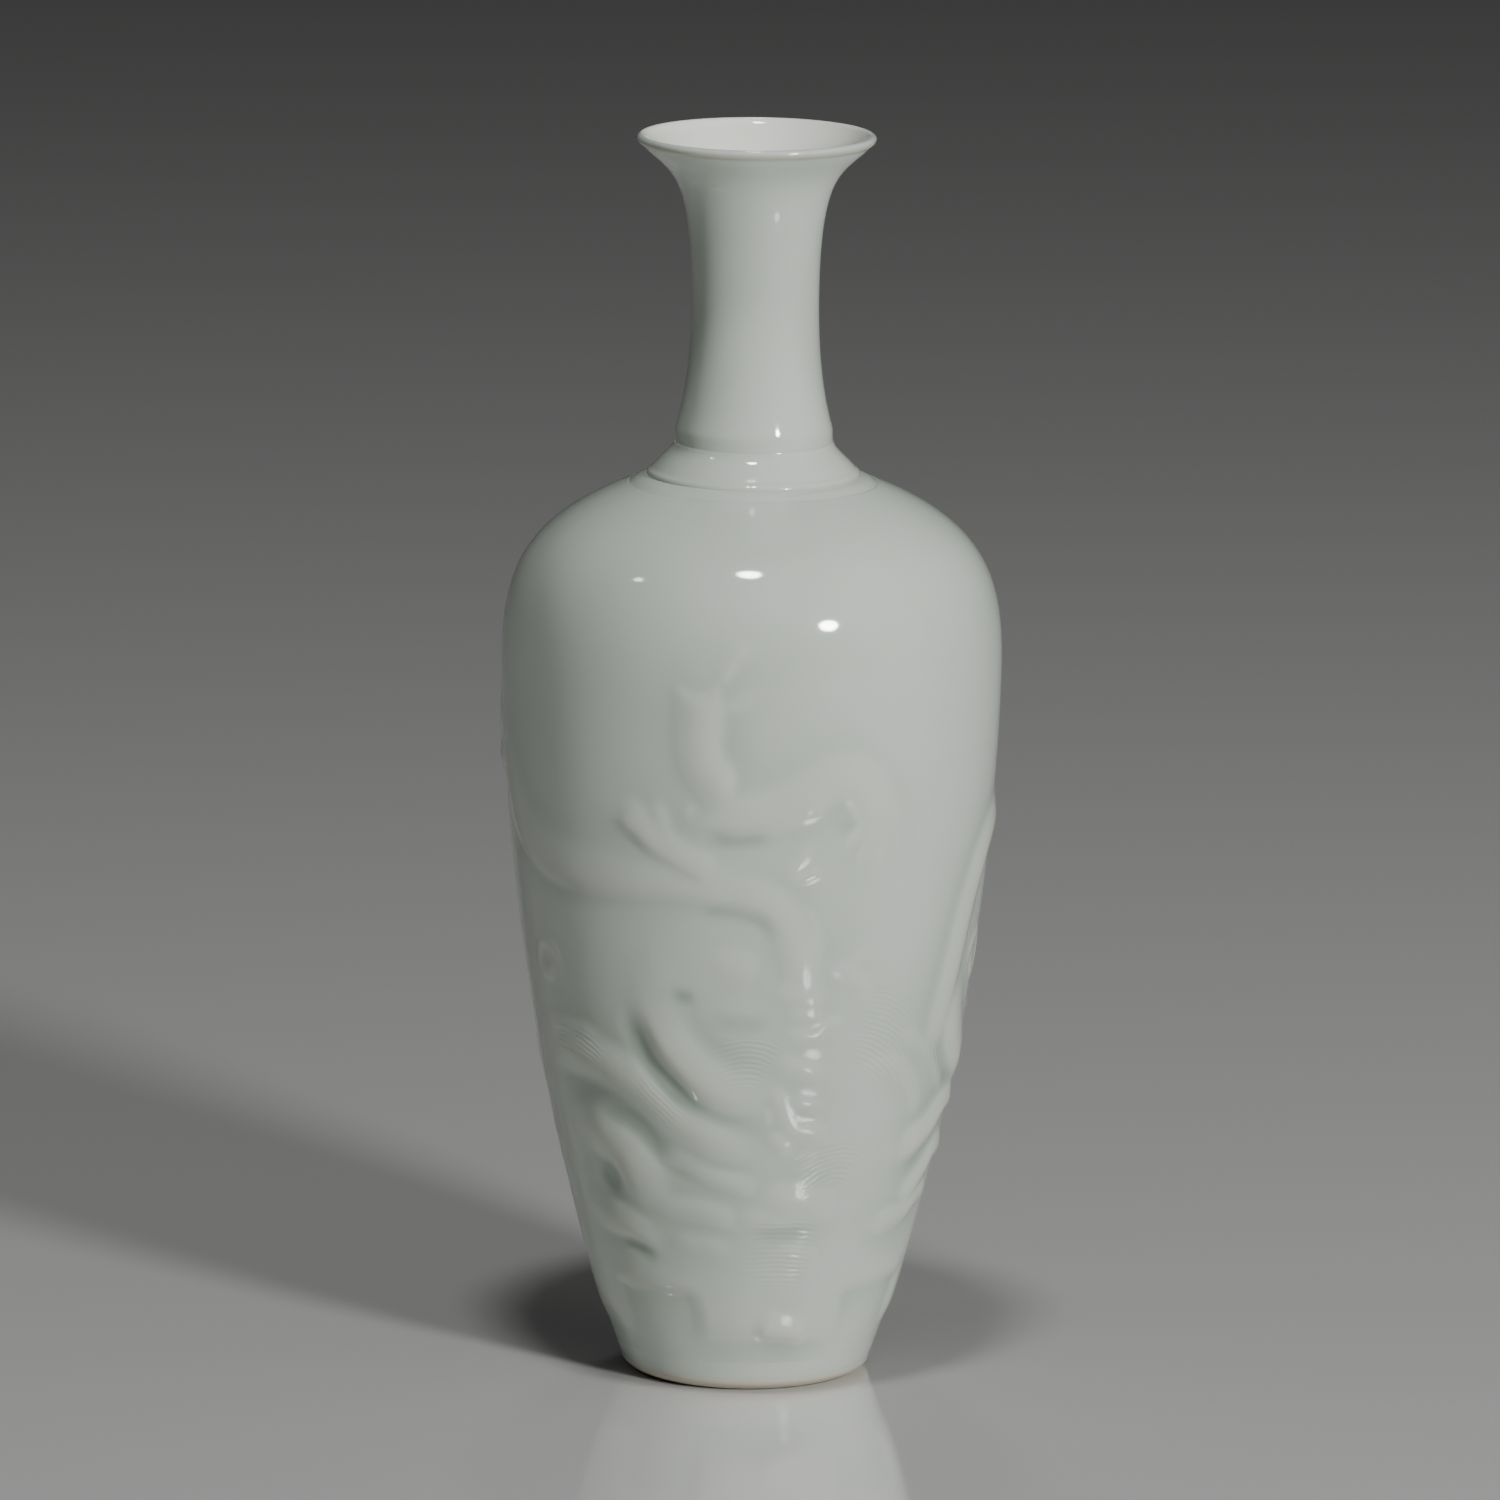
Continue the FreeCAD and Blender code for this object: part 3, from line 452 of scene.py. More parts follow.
def smoothed(points, step):
    """Points on a smooth curve through given ones, in a flat plane."""
    given = np.array(points, float)
    given = np.vstack([2 * given[0] - given[1], given, 2 * given[-1] - given[-2]])
    runs = []
    for before, start, end, after in zip(given, given[1:], given[2:], given[3:]):
        count = max(int(np.linalg.norm(end - start) / step), 1)
        share = np.arange(count)[:, None] / count
        bend = (2 * before - 5 * start + 4 * end - after) * share**2
        twist = (3 * start - before - 3 * end + after) * share**3
        runs.append((2 * start + (end - before) * share + bend + twist) / 2)
    return np.vstack(runs + [given[-2][None]])


def flattened(path, middle_turn):
    """A path of turns and heights, rolled out flat about its middle."""
    given = np.array(path, float)
    across = np.radians(given[:, 0] - middle_turn) * wall_radius(given[:, 1])
    return smoothed(np.stack([across, given[:, 1]], axis=1), PATH_STEP)


class Skin:
    """The body's outer surface rolled out as a grid of turns and heights."""

    def __init__(self):
        self.turns = np.arange(SKIN_COLUMNS) * FULL_TURN / SKIN_COLUMNS - FULL_TURN / 2
        low = FOOT_TOP_Z
        count = int(round((SHOULDER_Z - low) / SKIN_ROW_H))
        self.heights = np.linspace(low, SHOULDER_Z, count + 1)
        self.radius = wall_radius(self.heights)
        self.row_h = self.heights[1] - self.heights[0]
        self.shape = (len(self.heights), len(self.turns))

    def near(self, path, left, right):
        """The grid points near a path: their cells, side, distance and place along it, and its length."""
        path_turns = [turn for turn, _ in path]
        middle_turn = (min(path_turns) + max(path_turns)) / 2
        flat = flattened(path, middle_turn)
        reach = max(left, right)
        in_rows = (self.heights > flat[:, 1].min() - reach) & (self.heights < flat[:, 1].max() + reach)
        rows = np.where(in_rows)[0]
        if not len(rows):
            return None
        turn_off = (self.turns - middle_turn + FULL_TURN / 2) % FULL_TURN - FULL_TURN / 2
        least_r = self.radius[rows].min()
        in_columns = np.abs(np.radians(turn_off)) * least_r < np.abs(flat[:, 0]).max() + reach
        columns = np.where(in_columns)[0]
        across = np.radians(turn_off[columns])[None, :] * self.radius[rows][:, None]
        upward = np.broadcast_to(self.heights[rows][:, None], across.shape)
        best = np.full(across.shape, np.inf)
        side = np.zeros(across.shape)
        place = np.zeros(across.shape)
        length = 0.0
        for start, end in zip(flat, flat[1:]):
            step = end - start
            run = np.hypot(*step)
            if run == 0:
                continue
            off_across, off_up = across - start[0], upward - start[1]
            share = np.clip((off_across * step[0] + off_up * step[1]) / run**2, 0, 1)
            distance = np.hypot(off_across - share * step[0], off_up - share * step[1])
            turning = step[0] * off_up - step[1] * off_across
            nearer = distance < best
            best = np.where(nearer, distance, best)
            side = np.where(nearer, np.sign(turning), side)
            place = np.where(nearer, length + share * run, place)
            length += run
        return np.ix_(rows, columns), side, best, place, length

    def stroke(self, path, left, right, taper):
        """How strongly a stroke is felt at the grid points near it, from none to one."""
        found = self.near(path, left, right)
        if found is None:
            return None
        cells, side, distance, place, length = found
        share = distance / np.where(side > 0, left, right)
        ends = np.clip(np.minimum(place, length - place) / taper, 0, 1)
        return cells, rounded(share), eased_step(ends)


def rounded(share):
    """A soft arch across a stroke: one on the path, none at its edge."""
    inside = np.clip(1 - share**2, 0, 1)
    return inside * inside


def eased_step(share):
    share = np.clip(share, 0, 1)
    return share * share * (3 - 2 * share)


def higher_of(first, second):
    """The higher of two heights, blended where they are alike."""
    alike = np.clip(1 - np.abs(first - second) / RIDGE_BLEND, 0, 1)
    both = np.clip(np.minimum(first, second) / RIDGE_BLEND, 0, 1)
    return np.maximum(first, second) + alike * alike * both * RIDGE_BLEND / 4


def softened(field, row_reach, column_reach):
    """A field blurred as a thick glaze blurs the clay under it."""
    def weights(reach):
        count = int(BLUR_REACHES * reach) + 1
        offsets = np.arange(-count, count + 1)
        bell = np.exp(-((offsets / reach) ** 2) / 2)
        return bell / bell.sum(), count

    bell, count = weights(row_reach)
    padded = np.pad(field, ((count, count), (0, 0)), mode="edge")
    field = sum(weight * padded[index:index + field.shape[0]] for index, weight in enumerate(bell))
    bell, count = weights(column_reach)
    padded = np.pad(field, ((0, 0), (count, count)), mode="wrap")
    return sum(weight * padded[:, index:index + field.shape[1]] for index, weight in enumerate(bell))


def border_field(skin):
    """The apron above the foot: its stepped edge with a bead, fading out upwards."""
    step = FULL_TURN / BORDER_LOBES
    turn_off = (skin.turns - BORDER_FIRST_LOBE_TURN + step / 2) % step - step / 2
    half_lobe = (step - BORDER_GAP_TURN) / 2
    across = np.radians(np.abs(turn_off) - half_lobe)[None, :] * skin.radius[:, None]
    lobe_share = eased_step(0.5 - across / (2 * BORDER_CORNER))
    above_gap = skin.heights[:, None] - BORDER_GAP_Z
    above_lobe = skin.heights[:, None] - BORDER_LOBE_Z
    gap_rise = eased_step(above_gap / BORDER_GAP_SOFTNESS + 0.5)
    lobe_rise = eased_step(above_lobe / BORDER_LOBE_SOFTNESS + 0.5) * lobe_share
    rise = gap_rise + (1 - gap_rise) * lobe_rise
    fade = eased_step((BORDER_TOP_Z - skin.heights) / (BORDER_TOP_Z - BORDER_LOBE_Z))[:, None]
    bead = rounded(above_gap / BORDER_BEAD_REACH - 1) * (1 - lobe_share)
    return rise * (BORDER_LIFT * fade + BORDER_BEAD * bead)


def laid_waves():
    """Every wave stroke at every turn where it is laid."""
    return tuple(
        (tuple((turn + first_turn, height) for turn, height in path), *rest)
        for first_turns, path, *rest in WAVES
        for first_turn in first_turns
    )


def curl_strokes():
    """Each rolled curl as a stroke on a closing spiral."""
    strokes = []
    for turn, height, reach, hand in CURLS:
        path = []
        for index in range(CURL_POINTS):
            share = index / (CURL_POINTS - 1)
            radius = reach * (1 - (1 - CURL_INNER_SHARE) * share)
            angle = math.radians(CURL_START - FULL_TURN * CURL_TURNS * share)
            across = math.degrees(hand * radius * math.cos(angle) / float(wall_radius(height)))
            path.append((turn + across, height + radius * math.sin(angle)))
        strokes.append((tuple(path), CURL_REACH, CURL_REACH, CURL_RISE, reach))
    return tuple(strokes)


def relief_field(skin):
    """How far the relief stands off the wall everywhere on the body."""
    field = np.zeros(skin.shape)
    for path, left, right, rise, taper in RIDGES + laid_waves() + CRESTS + curl_strokes():
        found = skin.stroke(path, left, right, taper)
        if found:
            cells, arch, ends = found
            field[cells] = higher_of(field[cells], rise * arch * (END_SHARE + (1 - END_SHARE) * ends))
    field = higher_of(field, border_field(skin))
    for path, left, right, rise, taper in GROOVES:
        found = skin.stroke(path, left, right, taper)
        if found:
            cells, arch, ends = found
            field[cells] += rise * arch * ends
    column_w = math.radians(FULL_TURN / SKIN_COLUMNS) * BELLY_R
    return softened(field, GLAZE_FILL / skin.row_h, GLAZE_FILL / column_w)


def pool_and_shade_field(skin, relief):
    """Where glaze gathers in hollows, above a half, and thins on crests, below a half; the darkening of
    hollows is partly painted shade.
    """
    column_w = math.radians(FULL_TURN / SKIN_COLUMNS) * BELLY_R
    around = softened(relief, POOL_AND_SHADE_REACH / skin.row_h, POOL_AND_SHADE_REACH / column_w)
    return np.clip(0.5 + (around - relief) / (2 * POOL_AND_SHADE_DEPTH), 0, 1)


def comb_fields(skin):
    """The phase of the combed lines and how deep they are."""
    phase = np.zeros(skin.shape)
    depth = np.zeros(skin.shape)
    for path, left, right, strength in COMBED_PATCHES:
        cells, side, distance, place, length = skin.near(path, left, right)
        share = distance / np.where(side > 0, left, right)
        ends = eased_step(np.minimum(place, length - place) / (COMB_FADE_SHARE * length))
        edges = eased_step((1 - share) / COMB_FADE_SHARE)
        new_depth = strength * ends * edges
        deeper = new_depth > depth[cells]
        phase[cells] = np.where(deeper, side * distance / COMB_PITCH, phase[cells])
        depth[cells] = np.maximum(depth[cells], new_depth)
    return phase, depth


def wheel_tree():
    """Sweeps a closed outline once round the axis, as a wheel turns a profile."""
    tree = bpy.data.node_groups.new("thrown on the wheel", "GeometryNodeTree")
    tree.interface.new_socket("Outline", in_out="INPUT", socket_type="NodeSocketGeometry")
    settings = {}
    for name, kind in (("Columns", "Int"), ("Wheel radius", "Float"), ("Finish", "Material")):
        socket = tree.interface.new_socket(name, in_out="INPUT", socket_type="NodeSocket" + kind)
        settings[name] = socket.identifier
    tree.interface.new_socket("Piece", in_out="OUTPUT", socket_type="NodeSocketGeometry")
    entry = tree.nodes.new("NodeGroupInput")
    outline = tree.nodes.new("GeometryNodeMeshToCurve")
    wheel = tree.nodes.new("GeometryNodeCurvePrimitiveCircle")
    sweep = tree.nodes.new("GeometryNodeCurveToMesh")
    smooth = tree.nodes.new("GeometryNodeSetShadeSmooth")
    realize = tree.nodes.new("GeometryNodeRealizeInstances")
    finish = tree.nodes.new("GeometryNodeSetMaterial")
    leave = tree.nodes.new("NodeGroupOutput")
    for source, given, target, taken in (
        (entry, "Outline", outline, "Mesh"),
        (entry, "Columns", wheel, "Resolution"),
        (entry, "Wheel radius", wheel, "Radius"),
        (wheel, "Curve", sweep, "Curve"),
        (outline, "Curve", sweep, "Profile Curve"),
        (sweep, "Mesh", smooth, "Geometry"),
        (smooth, "Geometry", realize, "Geometry"),
        (realize, "Geometry", finish, "Geometry"),
        (entry, "Finish", finish, "Material"),
        (finish, "Geometry", leave, "Piece"),
    ):
        tree.links.new(source.outputs[given], target.inputs[taken])
    return tree, settings


def thrown(name, down_outside, up_inside, columns, finish):
    """A turned piece from the outline of its outside, read downwards, and its inside, read upwards."""
    outline = np.vstack([down_outside, up_inside])
    points = [((radius - LATHE_R) * MM, -height * MM, 0) for radius, height in outline]
    last = len(points) - 1
    edges = [(index, index + 1) for index in range(last)] + [(last, 0)]
    mesh = bpy.data.meshes.new(name + " outline")
    mesh.from_pydata(points, edges, [])
    piece = bpy.data.objects.new(name, mesh)
    bpy.context.scene.collection.objects.link(piece)
    modifier = piece.modifiers.new("wheel", "NODES")
    modifier.node_group = WHEEL
    modifier[WHEEL_INPUTS["Columns"]] = columns
    modifier[WHEEL_INPUTS["Wheel radius"]] = LATHE_R * MM
    modifier[WHEEL_INPUTS["Finish"]] = finish
    graph = bpy.context.evaluated_depsgraph_get()
    made = bpy.data.meshes.new_from_object(piece.evaluated_get(graph))
    piece.modifiers.clear()
    piece.data = made
    bpy.data.meshes.remove(mesh)
    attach(piece, "root")
    return piece


WHEEL, WHEEL_INPUTS = wheel_tree()


def corner_normals(mesh, corner_angle):
    """Smooth shading, broken where faces meet at more than an angle."""
    mesh.set_sharp_from_angle(angle=math.radians(corner_angle))


def positions(mesh):
    places = np.empty(len(mesh.vertices) * 3)
    mesh.vertices.foreach_get("co", places)
    return places.reshape(-1, 3)


def set_positions(mesh, places):
    mesh.vertices.foreach_set("co", places.ravel())
    mesh.update()


def named_values(mesh, name, values):
    attribute = mesh.attributes.new(name, "FLOAT", "POINT")
    attribute.data.foreach_set("value", np.asarray(values, np.float32))


def sampled(skin, field, turns, heights):
    """A field of the skin's grid read at any turns and heights."""
    row = np.clip((heights - skin.heights[0]) / skin.row_h, 0, len(skin.heights) - TOP_ROW_HOLD)
    column = (turns + FULL_TURN / 2) / FULL_TURN * SKIN_COLUMNS
    row_0, column_0 = np.floor(row).astype(int), np.floor(column).astype(int)
    row_share, column_share = row - row_0, column - column_0
    column_0 = column_0 % SKIN_COLUMNS
    column_1 = (column_0 + 1) % SKIN_COLUMNS
    below = field[row_0, column_0] * (1 - column_share) + field[row_0, column_1] * column_share
    above = field[row_0 + 1, column_0] * (1 - column_share) + field[row_0 + 1, column_1] * column_share
    return below * (1 - row_share) + above * row_share


def skin_places(turns, heights, lift):
    """Points on the skin, in millimetres, raised off the wall along its outward direction."""
    lean = wall_lean(heights)
    radius = wall_radius(heights) + lift * np.cos(lean)
    raised = heights - lift * np.sin(lean)
    angle = np.radians(turns)
    return np.stack([radius * np.sin(angle), -radius * np.cos(angle), raised], axis=-1)


def skin_normals(skin, relief):
    """The outward direction of the raised skin at every grid point."""
    turns, heights = np.meshgrid(skin.turns, skin.heights)
    places = skin_places(turns, heights, relief)
    round_step = np.roll(places, -1, axis=1) - np.roll(places, 1, axis=1)
    up_step = np.gradient(places, axis=0)
    normals = np.cross(round_step, up_step)
    return normals / np.linalg.norm(normals, axis=-1, keepdims=True)


def raise_relief(piece, skin, fields):
    """Lifts a turned piece's outer surface by the relief and gives it the skin's own normals."""
    mesh = piece.data
    places = positions(mesh) / MM
    radius = np.hypot(places[:, 0], places[:, 1])
    turns = np.degrees(np.arctan2(places[:, 0], -places[:, 1]))
    heights = places[:, 2]
    outside = np.abs(radius - wall_radius(heights)) < BODY_WALL / 2
    lift = sampled(skin, fields["relief"], turns, heights)
    raised = skin_places(turns, heights, lift)
    places[outside] = raised[outside]
    set_positions(mesh, places * MM)
    for name in ("pool_and_shade", "comb_phase", "comb_depth"):
        named_values(mesh, name, np.where(outside, sampled(skin, fields[name], turns, heights), 0))
    parts = [sampled(skin, fields["normals"][..., axis], turns, heights) for axis in range(3)]
    skin_shading(mesh, outside, np.stack(parts, axis=1))


def skin_shading(mesh, outside, normals):
    """Skin normals on the outer faces, flat ones on the hidden joints, smooth ones inside."""
    loop_points = np.empty(len(mesh.loops), int)
    mesh.loops.foreach_get("vertex_index", loop_points)
    face_of_loop = np.repeat(np.arange(len(mesh.polygons)), FACE_CORNERS)
    face_normals = np.array([tuple(face.normal) for face in mesh.polygons])
    outer_face = outside[loop_points].reshape(-1, FACE_CORNERS).all(axis=1)
    inner_face = (~outside[loop_points]).reshape(-1, FACE_CORNERS).all(axis=1)
    places = positions(mesh)
    inward = -places / np.maximum(np.hypot(places[:, 0], places[:, 1])[:, None], MM)
    inward[:, 2] = 0
    lean = wall_lean(places[:, 2] / MM)[:, None]
    inside_normals = inward * np.cos(lean)
    inside_normals[:, 2] = np.sin(lean[:, 0])
    loop_normals = face_normals[face_of_loop]
    outer_loops = outer_face[face_of_loop]
    inner_loops = inner_face[face_of_loop]
    loop_normals[outer_loops] = normals[loop_points][outer_loops]
    loop_normals[inner_loops] = inside_normals[loop_points][inner_loops]
    mesh.normals_split_custom_set(loop_normals.tolist())


def body_part(name, low_z, high_z, skin, fields, finish):
    """One length of the body: the raised skin outside and the plain wall inside."""
    down_outside = part_of(OUTER_BODY, low_z, high_z, SKIN_ROW_H)[::-1]
    inner_low = max(low_z, FLOOR_Z)
    inner_high = min(high_z, INNER_BODY[-1][1])
    up_inside = part_of(INNER_BODY, inner_low, inner_high, INNER_ROW_H)
    if low_z < FLOOR_Z:
        up_inside = np.vstack([[(BASE_R, low_z)], up_inside])
    if high_z > inner_high:
        up_inside = np.vstack([up_inside, [(NECK_BORE_R, SHOULDER_Z - THROAT_T), (NECK_BORE_R, high_z)]])
    piece = thrown(name, down_outside, up_inside, SKIN_COLUMNS, finish)
    raise_relief(piece, skin, fields)
    return piece


def foot(finish):
    """The turned foot ring, with its bevel outside and its recess inside."""
    outside = part_of(OUTER_BODY, BEVEL_H, FOOT_TOP_Z, SMALL_ROW_H)[::-1]
    edge = bezier(
        (FOOT_R, BEVEL_H),
        (FOOT_R, BEVEL_H - TREAD_ROUND),
        (TREAD_OUTER_R + TREAD_ROUND, 0),
        (TREAD_OUTER_R - TREAD_ROUND, 0),
    )
    down_outside = np.vstack([outside, thinned(edge, SMALL_ROW_H / 2)[1:]])
    up_inside = np.array([
        (TREAD_INNER_R + TREAD_ROUND, 0),
        (TREAD_INNER_R, TREAD_ROUND),
        (RECESS_TOP_R, FOOT_TOP_Z),
    ])
    piece = thrown("foot", down_outside, up_inside, SMALL_COLUMNS, finish)
    corner_normals(piece.data, FOOT_CORNER)
    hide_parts("foot_ring")
    return piece


def shoulder_ring(finish):
    """The flat turned band on the shoulder, which thins out to its edge."""
    edge = [(BAND_R - inset, SHOULDER_Z + rise) for inset, rise in BAND_EDGE]
    down_outside = np.array([(COLLAR_R - COLLAR_EDGE_ROUND, BAND_TOP_Z), (COLLAR_R, BAND_TOP_Z), *edge])
    up_inside = np.array([(NECK_BASE_R, SHOULDER_Z), (NECK_BASE_R, BAND_TOP_Z)])
    piece = thrown("shoulder_ring", down_outside, up_inside, SMALL_COLUMNS, finish)
    corner_normals(piece.data, PIECE_CORNER)
    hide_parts("shoulder_band")
    return piece


def collar(finish):
    """The collar, with its rounded lower edge and its hollow flare up to the neck."""
    brow = (COLLAR_R - COLLAR_EDGE_ROUND, BAND_TOP_Z + COLLAR_EDGE_H)
    top = (COLLAR_TOP_R, COLLAR_TOP_Z)
    flare = eased(brow, -COLLAR_SLOPE, top, -COLLAR_TOP_LEAN, COLLAR_PULL_SHARES)
    pulls = [(COLLAR_R + out, BAND_TOP_Z + rise) for out, rise in COLLAR_EDGE_PULLS]
    edge = bezier((COLLAR_R, BAND_TOP_Z), *pulls, brow)
    rising = np.vstack([thinned(edge, SMALL_ROW_H / 2), thinned(flare, SMALL_ROW_H)[1:]])
    up_inside = np.array([(NECK_BASE_R, BAND_TOP_Z), (NECK_BASE_R, COLLAR_TOP_Z)])
    piece = thrown("collar", rising[::-1], up_inside, SMALL_COLUMNS, finish)
    corner_normals(piece.data, PIECE_CORNER)
    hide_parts("collar_band")
    return piece


def mouth_flare():
    """The outer line of the neck above its waist, out to the lip."""
    waist = (WAIST_R, COLLAR_TOP_Z + NECK_BASE_H + WAIST_RISE)
    lip = (LIP_R - LIP_OVERHANG, HEIGHT - LIP_H)
    return eased(waist, 0, lip, MOUTH_LEAN, MOUTH_PULL_SHARES)


def neck_tube(finish):
    """The waisted tube between the collar and the mouth."""
    root_z = COLLAR_TOP_Z + NECK_BASE_H
    waist_z = root_z + WAIST_RISE
    tube = eased((NECK_BASE_R, root_z), 0, (WAIST_R, waist_z), 0, WAIST_PULL_SHARES)
    low_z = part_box("neck")[0].z / MM
    root = np.array([(NECK_BASE_R, low_z), (NECK_BASE_R, root_z - NECK_ROOT_ROUND)])
    below_waist = part_of(tube, root_z, waist_z, SMALL_ROW_H)
    above_waist = part_of(mouth_flare(), waist_z, MOUTH_SEAM_Z, SMALL_ROW_H)
    rising = np.vstack([root, below_waist, above_waist[1:]])
    up_inside = part_of(neck_bore(), low_z, MOUTH_SEAM_Z, 2 * SMALL_ROW_H)
    piece = thrown("neck_tube", rising[::-1], up_inside, SMALL_COLUMNS, finish)
    corner_normals(piece.data, PIECE_CORNER)
    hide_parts("neck")
    return piece


def neck_bore():
    """The inner line of neck and mouth, from the shoulder to the lip."""
    start = (NECK_BORE_R, FLARE_START_Z)
    flare = eased(start, 0, (LIP_INNER_R, HEIGHT - LIP_INNER_DROP), FLARE_LEAN, FLARE_PULL_SHARES)
    return np.vstack([[(NECK_BORE_R, SHOULDER_Z - THROAT_T)], flare])


def line_inside(piece, finish):
    """Gives a turned piece a second finish on the faces that look towards the axis."""
    piece.data.materials.append(finish)
    for face in piece.data.polygons:
        centre, normal = face.center, face.normal
        if centre.x * normal.x + centre.y * normal.y < 0:
            face.material_index = 1


def mouth(finish, lining):
    """The trumpet mouth with its rounded lip, paler inside."""
    rising = part_of(mouth_flare(), MOUTH_SEAM_Z, HEIGHT - LIP_H, SMALL_ROW_H)
    top = (LIP_TOP_R, HEIGHT)
    pulls = [(LIP_R + out, HEIGHT - drop) for out, drop in LIP_PULLS]
    edge = bezier((LIP_R - LIP_OVERHANG, HEIGHT - LIP_H), *pulls, top)
    inner = part_of(neck_bore(), MOUTH_SEAM_Z, HEIGHT - LIP_INNER_DROP, SMALL_ROW_H)
    inner_edge = bezier(
        (LIP_INNER_R, HEIGHT - LIP_INNER_DROP),
        (LIP_INNER_R + LIP_INNER_PULL[0], HEIGHT - LIP_INNER_PULL[1]),
        (LIP_TOP_R - LIP_TOP_PULL, HEIGHT),
        top,
    )
    down_outside = np.vstack([thinned(edge, SMALL_ROW_H / 3)[::-1], rising[::-1][1:]])
    up_inside = np.vstack([inner, thinned(inner_edge, SMALL_ROW_H / 3)[1:-1]])
    piece = thrown("mouth", down_outside, up_inside, SMALL_COLUMNS, finish)
    corner_normals(piece.data, PIECE_CORNER)
    line_inside(piece, lining)
    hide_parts("mouth_rim")
    return piece


def seam_bead(finish):
    """The slip squeezed out on the inside, where the two halves of the body meet."""
    radius = float(np.interp(BODY_SEAM_Z, INNER_BODY[:, 1], INNER_BODY[:, 0]))
    outline = np.array([(radius - inward, BODY_SEAM_Z + rise) for inward, rise in BEAD_OUTLINE])
    piece = thrown("seam_bead", outline[:2], outline[2:], SMALL_COLUMNS, finish)
    corner_normals(piece.data, BEAD_CORNER)
    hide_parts("body_seam_slip")
    return piece


def new_material(name):
    material = bpy.data.materials.new(name)
    material.use_nodes = True
    nodes = material.node_tree.nodes
    return material, nodes, material.node_tree.links, nodes["Principled BSDF"]


def put(node, **values):
    """Sets a node's sockets, whose names have underscores here for their spaces."""
    for name, value in values.items():
        node.inputs[name.replace("_", " ")].default_value = value


def own_places(nodes):
    """Places on the piece itself."""
    return nodes.new("ShaderNodeTexCoord").outputs["Object"]


def stored(nodes, name):
    """A value that the mesh carries."""
    attribute = nodes.new("ShaderNodeAttribute")
    attribute.attribute_name = name
    return attribute.outputs["Fac"]


def bumped(nodes, links, height, strength, depth):
    """Ripples the surface by a height."""
    bump = nodes.new("ShaderNodeBump")
    put(bump, Strength=strength, Distance=depth * MM)
    links.new(height, bump.inputs["Height"])
    return bump


def noise(nodes, links, places, scale, detail):
    texture = nodes.new("ShaderNodeTexNoise")
    put(texture, Scale=scale, Detail=detail)
    links.new(places, texture.inputs["Vector"])
    return texture.outputs["Fac"]


def ramp(nodes, links, value, stops):
    """Colours set at places between nothing and one."""
    node = nodes.new("ShaderNodeValToRGB")
    links.new(value, node.inputs["Fac"])
    elements = node.color_ramp.elements
    while len(elements) < len(stops):
        elements.new(1.0)
    for element, (place, colour) in zip(elements, stops):
        element.position = place
        element.color = (*colour, 1.0)
    return node.outputs["Color"]


def tinted(nodes, links, base, tint):
    """A colour multiplied by another."""
    mix = nodes.new("ShaderNodeMix")
    mix.data_type = "RGBA"
    mix.blend_type = "MULTIPLY"
    put(mix, Factor=1.0)
    links.new(base, mix.inputs["A"])
    links.new(tint, mix.inputs["B"])
    return mix.outputs["Result"]


def reckon(nodes, links, operation, first, second):
    """One sum on two values, each a socket or a number."""
    node = nodes.new("ShaderNodeMath")
    node.operation = operation
    for index, value in enumerate((first, second)):
        if isinstance(value, bpy.types.NodeSocket):
            links.new(value, node.inputs[index])
        else:
            node.inputs[index].default_value = value
    return node.outputs["Value"]


def even(colour, tint=EVEN_TINT):
    """A glaze colour where the glaze lies evenly, or with another tint."""
    return tuple(channel * share for channel, share in zip(colour, tint))


def height_at(nodes, links, places):
    """How high each place is."""
    split = nodes.new("ShaderNodeSeparateXYZ")
    links.new(places, split.inputs["Vector"])
    return split.outputs["Z"]


def warm_and_shaded_lip(nodes, links, places, base):
    """The thin warm glaze on the edge of the lip, darkened there as painted shade, fading down the flare.
    """
    below = reckon(nodes, links, "SUBTRACT", HEIGHT * MM, height_at(nodes, links, places))
    share = reckon(nodes, links, "DIVIDE", below, LIP_FADE_H * MM)
    start, full, end = LIP_WARM_AND_SHADE_SHARES
    stops = ((start, NO_TINT), (full, LIP_WARM_AND_SHADE_TINT), (end, LIP_WARM_AND_SHADE_TINT), (1.0, NO_TINT))
    return tinted(nodes, links, base, ramp(nodes, links, share, stops))


def combed_lines(nodes, links, places):
    """The height of the combed lines, which wander a little."""
    wander = reckon(nodes, links, "MULTIPLY", noise(nodes, links, places, *COMB_NOISE), COMB_WANDER)
    strayed = reckon(nodes, links, "ADD", stored(nodes, "comb_phase"), wander)
    wave = reckon(nodes, links, "SINE", reckon(nodes, links, "MULTIPLY", strayed, 2 * math.pi), 0.0)
    return reckon(nodes, links, "MULTIPLY", wave, stored(nodes, "comb_depth"))


